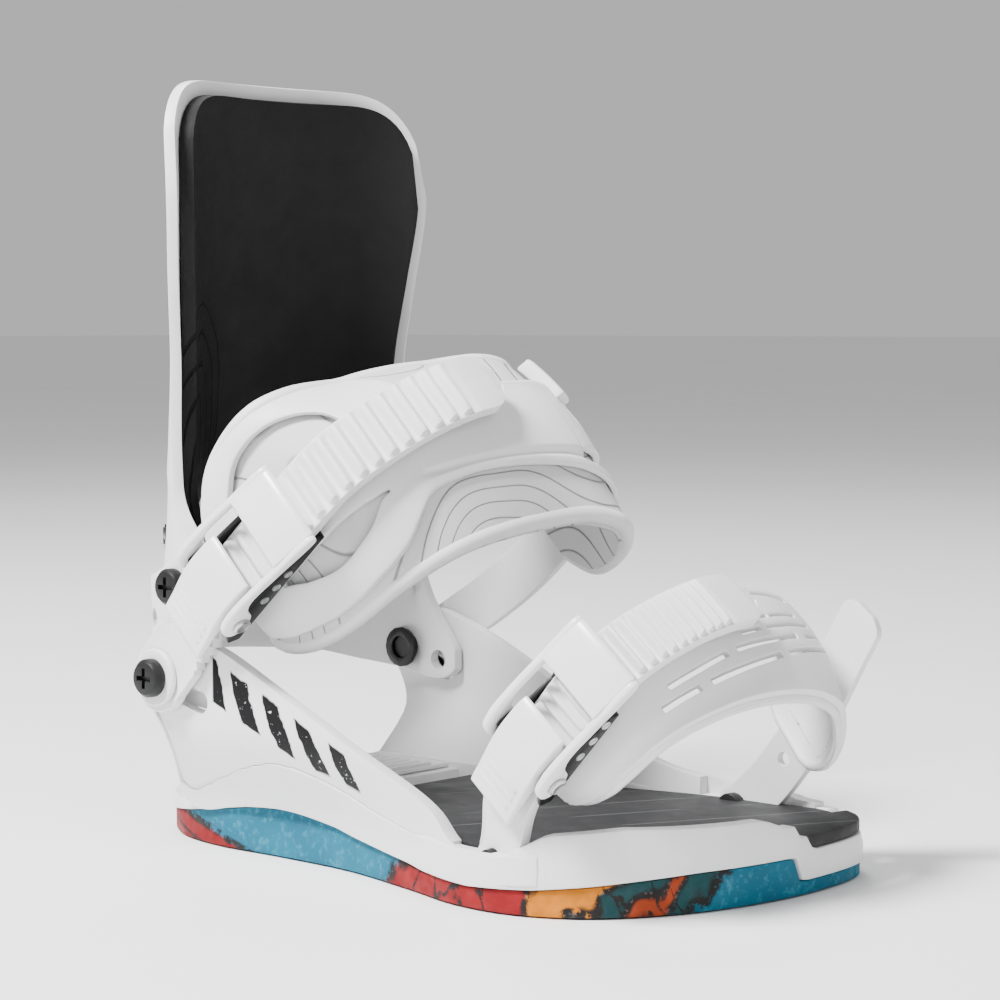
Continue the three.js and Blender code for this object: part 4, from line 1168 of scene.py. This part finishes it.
# Bores of a strip, as (position up the strap, position forwards, radius); the eye comes first.
ANKLE_BORES = [(0, 0, 3.9), (86, 14, 2.6)]
TOE_BORES = [(0, 0, 2.9), (26, 4, 2.4), (35, 4, 2.4), (48, 3, 2.6)]
extender("ankle_extender_strip", ankle, [
    (63.2, 0, 0), (63.2, 14, 3), (63.2, 34, 8), (62.2, 54, 12), (60.6, 72, 14), (59.4, 94, 15),
], 18, 3, 11.4, ANKLE_BORES, "ankle_strap", "ankle_extender", 0.93)
extender("toe_extender_strip", toe, [
    (58.6, 0, 0), (58.2, 12, 3.5), (57, 28, 4.5), (56.2, 44, 3.5), (56.6, 58, 0.5),
    (57.4, 71, -2.5), (58.4, 83, -5),
], 16, 3, 7, TOE_BORES, "toe_cap", "toe_extender", 0.95)
refine("ankle_extender_screw", DARK_STEEL, "ankle_strap", "black_steel", 0.4)
refine("toe_extender_screw", DARK_STEEL, "toe_cap", "black_steel", 0.4)

TOE_ARCH = Curve([
    (-50.5, 24), (-53, 36), (-52.4, 48), (-48, 60), (-38.5, 69.5), (-24, 76), (-6, 79.6), (12, 80),
    (28, 77.5),
    (43, 71.5), (51.4, 60.5), (53.6, 48), (53.2, 38),
])
TOE_ROWS = [
    (0, -5, 4), (0.015, -9, 7), (0.05, -15, 10), (0.12, -20, 12), (0.25, -23, 13), (0.5, -24, 13.5),
    (0.75, -22, 16.5),
    (0.88, -18, 22.5), (0.95, -14, 24), (0.985, -8, 20), (1, -1, 13),
]
TOE_REAR, TOE_FRONT = ease_shares(TOE_ROWS)


def toe_dip(n):
    return 0.16 * (n + 5) + 3 * ((n + 5) / 19) ** 2


TOE_SEAMS = [
    # share, middle of the four rows of slots from rear to front
    (0, -9.5, -4.5, 1, 6), (0.27, -9.5, -4.5, 2, 6.5), (0.36, -9.5, -4.8, 1.2, 6),
    (0.48, -9.5, -5.3, -1, 4.8),
    (0.60, -10.3, -6.4, -2, 3.2), (0.70, -11.4, -7.6, -3.5, 1.4), (0.78, -12.4, -8.8, -5, 0),
    (1, -13, -9, -5, 0),
]
TOE_EASED = ease_shares(TOE_SEAMS)
TOE_SLOTS = {
    1: ((0.56, 0.74),),
    3: ((0.562, 0.603), (0.617, 0.715)),
    5: ((0.512, 0.568), (0.584, 0.742)),
    7: ((0.305, 0.455), (0.478, 0.665), (0.695, 0.782)),
    9: ((0.27, 0.362), (0.388, 0.585), (0.604, 0.777)),
}


def toe_shell(u, v, side):
    rear, front = along(TOE_REAR, u), along(TOE_FRONT, u)
    lines = [rear, rear + 2.8, rear + 4.2]
    for k, rows in enumerate(TOE_EASED):
        mid, half = along(rows, u), (0.7, 0.8, 1.0, 1.1)[k]
        lines += [mid - half, mid + half]
    lines += [lerp(lines[-1], front, 0.5), front]
    squeeze = smooth(u, 0.0, 0.16) * smooth(1 - u, 0.0, 0.14)
    n = lerp(lerp(rear, front, v / 12), min(front, max(rear, lines[int(v)])), squeeze)
    crease = -0.45 * (v == 11) + 0.3 * (v == 10)
    return toe.over(TOE_ARCH, u, n, (crease if side else -2.5) - toe_dip(n))


TOE_US = [0, 0.003, 0.006] + steps(0.01, 0.99, 120) + [0.994, 0.997, 1]


def toe_mask(i, j):
    mid = (TOE_US[i] + TOE_US[i + 1]) / 2
    return not any(low < mid < high for low, high in TOE_SLOTS.get(j, ()))


lanes = list(range(13))
cap = panel("toe_strap_shell", toe_shell, TOE_US, lanes, mask=toe_mask, bevel=0.45, subdivide=1)
dress(cap, SOFT_WHITE, "toe_cap", "strap_white", "toe_strap")


def toe_liner(u, v, side):
    rear, front = along(TOE_REAR, u), along(TOE_FRONT, u)
    full = smooth(u, 0.78, 0.84)
    n = lerp(rear, front + 1.0, lerp(lerp(0.80, 0.0, full), 1.0, v))
    return toe.over(TOE_ARCH, u, n, (-2.8 if side else -4.6) - toe_dip(n))


rows = [0, 0.05, 0.25, 0.5, 0.75, 0.95, 1]
liner_piece = panel("toe_liner", toe_liner, shares(70), rows, bevel=0.8, segments=3)
dress(liner_piece, SOFT_WHITE, "toe_cap", "strap_white", "toe_strap", padded=0.8)
edges = TOE_REAR, TOE_FRONT
roll = bead("toe_liner_bead", toe, TOE_ARCH, edges, lambda share, n: toe_dip(n), 0.6, -4.1, 1.5)
dress(roll, SOFT_WHITE, "toe_cap", "strap_white", "toe_strap", padded=0.8)

stitches = []
loop = [(share, along(TOE_FRONT, share) - 4.2) for share in steps(0.80, 0.965, 13)]
loop += [(share, along(TOE_REAR, share) + 4.2) for share in steps(0.965, 0.82, 12)]
for (s0, n0), (s1, n1) in zip(loop, loop[1:]):
    ends = []
    for t in (0.2, 0.75):
        share, n = lerp(s0, s1, t), lerp(n0, n1, t)
        ends.append(toe.over(TOE_ARCH, share, n, -4.65 - toe_dip(n)))
    stitches.append(tube("stitch", ends, 0.28))
dress(merge("toe_stitches", *stitches), LINER, "toe_cap", "strap_white", "toe_strap")

# ---- ratchet buckles ---------------------------------------------------------------------------
PIN_U, PIN_T, PIN_R = 5.0, 9.8, 2.0
LEVER_ARM = [
    (1, 7.4), (-1, 10.6), (1, 14.6), (7, 16.8), (16, 16.2), (28, 13.6), (44, 9.6), (45, 7.6),
    (43.6, 6.9), (27, 10.8),
    (15, 13), (10.6, 10.6), (9, 7.8), (5, 6.8),
]
LEVER_PLATE = [
    (29, 11.2), (29.5, 13.4), (36, 12.2), (44, 9.7),
    (45.1, 8.4), (44.8, 7.4), (43.4, 6.9), (36, 8.9),
]
RELEASE = [
    (-16, 7.2), (-16.6, 8.9), (-9, 11.4), (-1, 13.9), (6, 15.2), (16, 14.4), (18, 12.9),
    (15.6, 11.6), (9.4, 8.6),
    (6, 7.1), (1.5, 7.3), (-1.4, 6.8), (-2.6, 8.6), (-8, 8.4),
]


def rounded(outline, count):
    curve = Curve(outline, closed=True)
    return [tuple(curve.at(i / count)[:2]) for i in range(count)]


def buckle(prefix, strap, place_at, half, length, foot_t, body):
    origin, up, rear, out = strap.local(*place_at)
    side_on = axes(origin, up, out, -rear)
    flat_on = axes(origin, up, rear, out)

    pin_axis = axes(origin + up * PIN_U + out * PIN_T, up, out, -rear)

    def pinned(obj):
        return cut(obj, drill(PIN_R + 0.08, pin_axis, -40, 40))

    base_side = [
        (-5, 0.4), (-7, 4), (-3, 7.6), (0.6, 10.6), (4, 13), (8, 12), (11, 9.4),
        (length * 0.56, 6.6), (length - 8, 5.2),
        (length - 7, 4.1), (length - 5, 4.9), (length - 4, 3.8), (length - 2, 4.2), (length, 0.4),
    ]
    parts = []
    for low in (-half - 1.6, half + 0.3):
        parts.append(pinned(prism("wall", base_side, low, low + 1.3, side_on, bevel=0.25)))
    floor_shape = [(-5, -half - 1.2), (length, -half - 1.2), (length, half + 1.2), (-5, half + 1.2)]
    parts.append(prism("floor", floor_shape, 0.4, 1.6, flat_on, bevel=0.2))
    foot = flat_on @ Matrix.Translation((16, 0, 0))
    parts.append(lathe("foot", [(0, foot_t), (5, foot_t), (5, 1), (0, 1)], foot, 36))
    bracket = merge(f"{prefix}_bracket", *parts)
    dress(bracket, DARK_STEEL, body, "black_steel", f"{prefix}_buckle_base")
    for k in range(3):
        for sign in (-1, 1):
            u, t = 13.5 + 6.2 * k, 3.9 - 0.35 * k
            at = origin + up * u + out * t + rear * (half + 1.55) * sign
            spot = axes(at, out, up * sign, rear * sign)
            ring_shape = [(0, 0), (1.5, 0), (1.5, 0.35), (1.1, 0.5), (0.75, 0.3), (0, 0.3)]
            rivet = lathe(f"{prefix}_rivet_{k}_{'a' if sign > 0 else 'b'}", ring_shape, spot, 24)
            dress(rivet, STEEL, body, "black_steel", f"{prefix}_buckle_base")

    inner = half + 2
    arms = []
    for low in (-inner - 2.4, inner):
        arm = prism("arm", rounded(LEVER_ARM, 60), low, low + 2.4, side_on, bevel=0.7, segments=3)
        arms.append(pinned(arm))
    w, plate = inner + 0.4, rounded(LEVER_PLATE, 44)
    arms.append(prism("plate", plate, -w, w, side_on, bevel=0.6, segments=3))
    lever = merge(f"{prefix}_lever", *arms)
    dress(lever, LEVER_WHITE, f"{prefix}_drive", "lever_white", f"{prefix}_drive_lever")

    w = half - 0.6
    core = prism("core", rounded(RELEASE, 64), -w, w, side_on, bevel=0.8, segments=3)
    pinned(core)
    grips = []
    for u in (-12.5, -9.3, -6.1):
        t = 9 + 0.32 * (u + 16.6)
        rib = [(u, t - 0.8), (u + 1.5, t - 0.3), (u + 1.5, t + 1.1), (u, t + 0.6)]
        grips.append(prism("grip", rib, -half + 3, half - 3, side_on, bevel=0.3))
    core = merge(f"{prefix}_release", core, *grips)
    dress(core, LEVER_WHITE, f"{prefix}_release", "lever_white", f"{prefix}_release_lever")

    end = half + 4.7
    dome = [
        (0, -end - 1.1), (2.2, -end - 1.1), (3, -end - 0.6), (3, -end), (PIN_R, -end + 0.2),
        (PIN_R, end - 0.2), (3, end), (3, end + 0.6), (2.2, end + 1.1),
        (1.3, end + 0.8), (0, end + 0.8),
    ]
    pin = lathe(f"{prefix}_pin", dome, pin_axis, 32)
    dress(pin, STEEL, body, "steel", f"{prefix}_buckle_pin")
    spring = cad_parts[f"{prefix}_release_spring"]
    spring.data.materials.clear()
    spring.data.materials.append(STEEL)


buckle("ankle", ankle, (-61.9 + 3.6, 38, 0, 5.7), 11.3, 43, -2.9, "ankle_strap")
buckle("toe", toe, (-60.2 + 3.6, 32, -8, 5.7), 9.8, 30, -1.1, "toe_cap")

# ---- camera, light, floor ----------------------------------------------------------------------
AZIMUTH, ELEVATION = math.radians(-48.308), math.radians(3.603)
EYE, LENS, SENSOR = (-662.162, -602.871, 170.253), 100.88, 36


def direction(azimuth, elevation):
    """Unit vector towards a place round the part, at azimuth 0 in front of the toe."""
    flat = math.cos(elevation)
    return Vector((math.sin(azimuth) * flat, -math.cos(azimuth) * flat, math.sin(elevation)))


camera = bpy.data.cameras.new("camera")
camera.lens, camera.sensor_width, camera.clip_end = LENS, SENSOR, 50
eye = show("camera", camera)
back = direction(AZIMUTH, ELEVATION)
right = Vector((math.cos(AZIMUTH), math.sin(AZIMUTH), 0))
turn = Matrix((right, back.cross(right), back)).transposed().to_4x4()
turn.translation = place(EYE)
eye.matrix_world = turn
bpy.context.scene.camera = eye

FLOOR_SIZE, WORLD_LIGHT = 30.0, 0.55
bm = bmesh.new()
bmesh.ops.create_grid(bm, x_segments=1, y_segments=1, size=FLOOR_SIZE)
ground = make("studio_floor", bm)
ground.location.z = -0.0005
n = Nodes("studio_floor")
tone = n.mix(n.drift(3, 2, 0.0, 1.0), (0.86, 0.86, 0.86), (0.88, 0.88, 0.88))
n.set(Base_Color=tone, Roughness=0.8)
ground.data.materials.append(n.mat)

world = bpy.data.worlds.new("studio")
world.use_nodes = True
sky = world.node_tree.nodes["Background"]
sky.inputs[0].default_value = (1, 1, 1, 1)
sky.inputs[1].default_value = WORLD_LIGHT
bpy.context.scene.world = world


def area_light(name, azimuth, elevation, distance, size, power):
    """A soft disc light: degrees round and up, metres away and across, watts."""
    aim = direction(math.radians(azimuth), math.radians(elevation))
    light = bpy.data.lights.new(name, "AREA")
    light.shape = "DISK"
    light.size = size
    light.energy = power
    obj = show(name, light)
    obj.location = aim * distance + Vector((0, 0, 0.1))
    obj.rotation_euler = aim.to_track_quat("Z", "Y").to_euler()


area_light("key", -105, 52, 1.6, 0.5, 84)
area_light("fill", -20, 30, 2.0, 0.9, 9)
area_light("rim", 140, 55, 1.8, 0.7, 14)
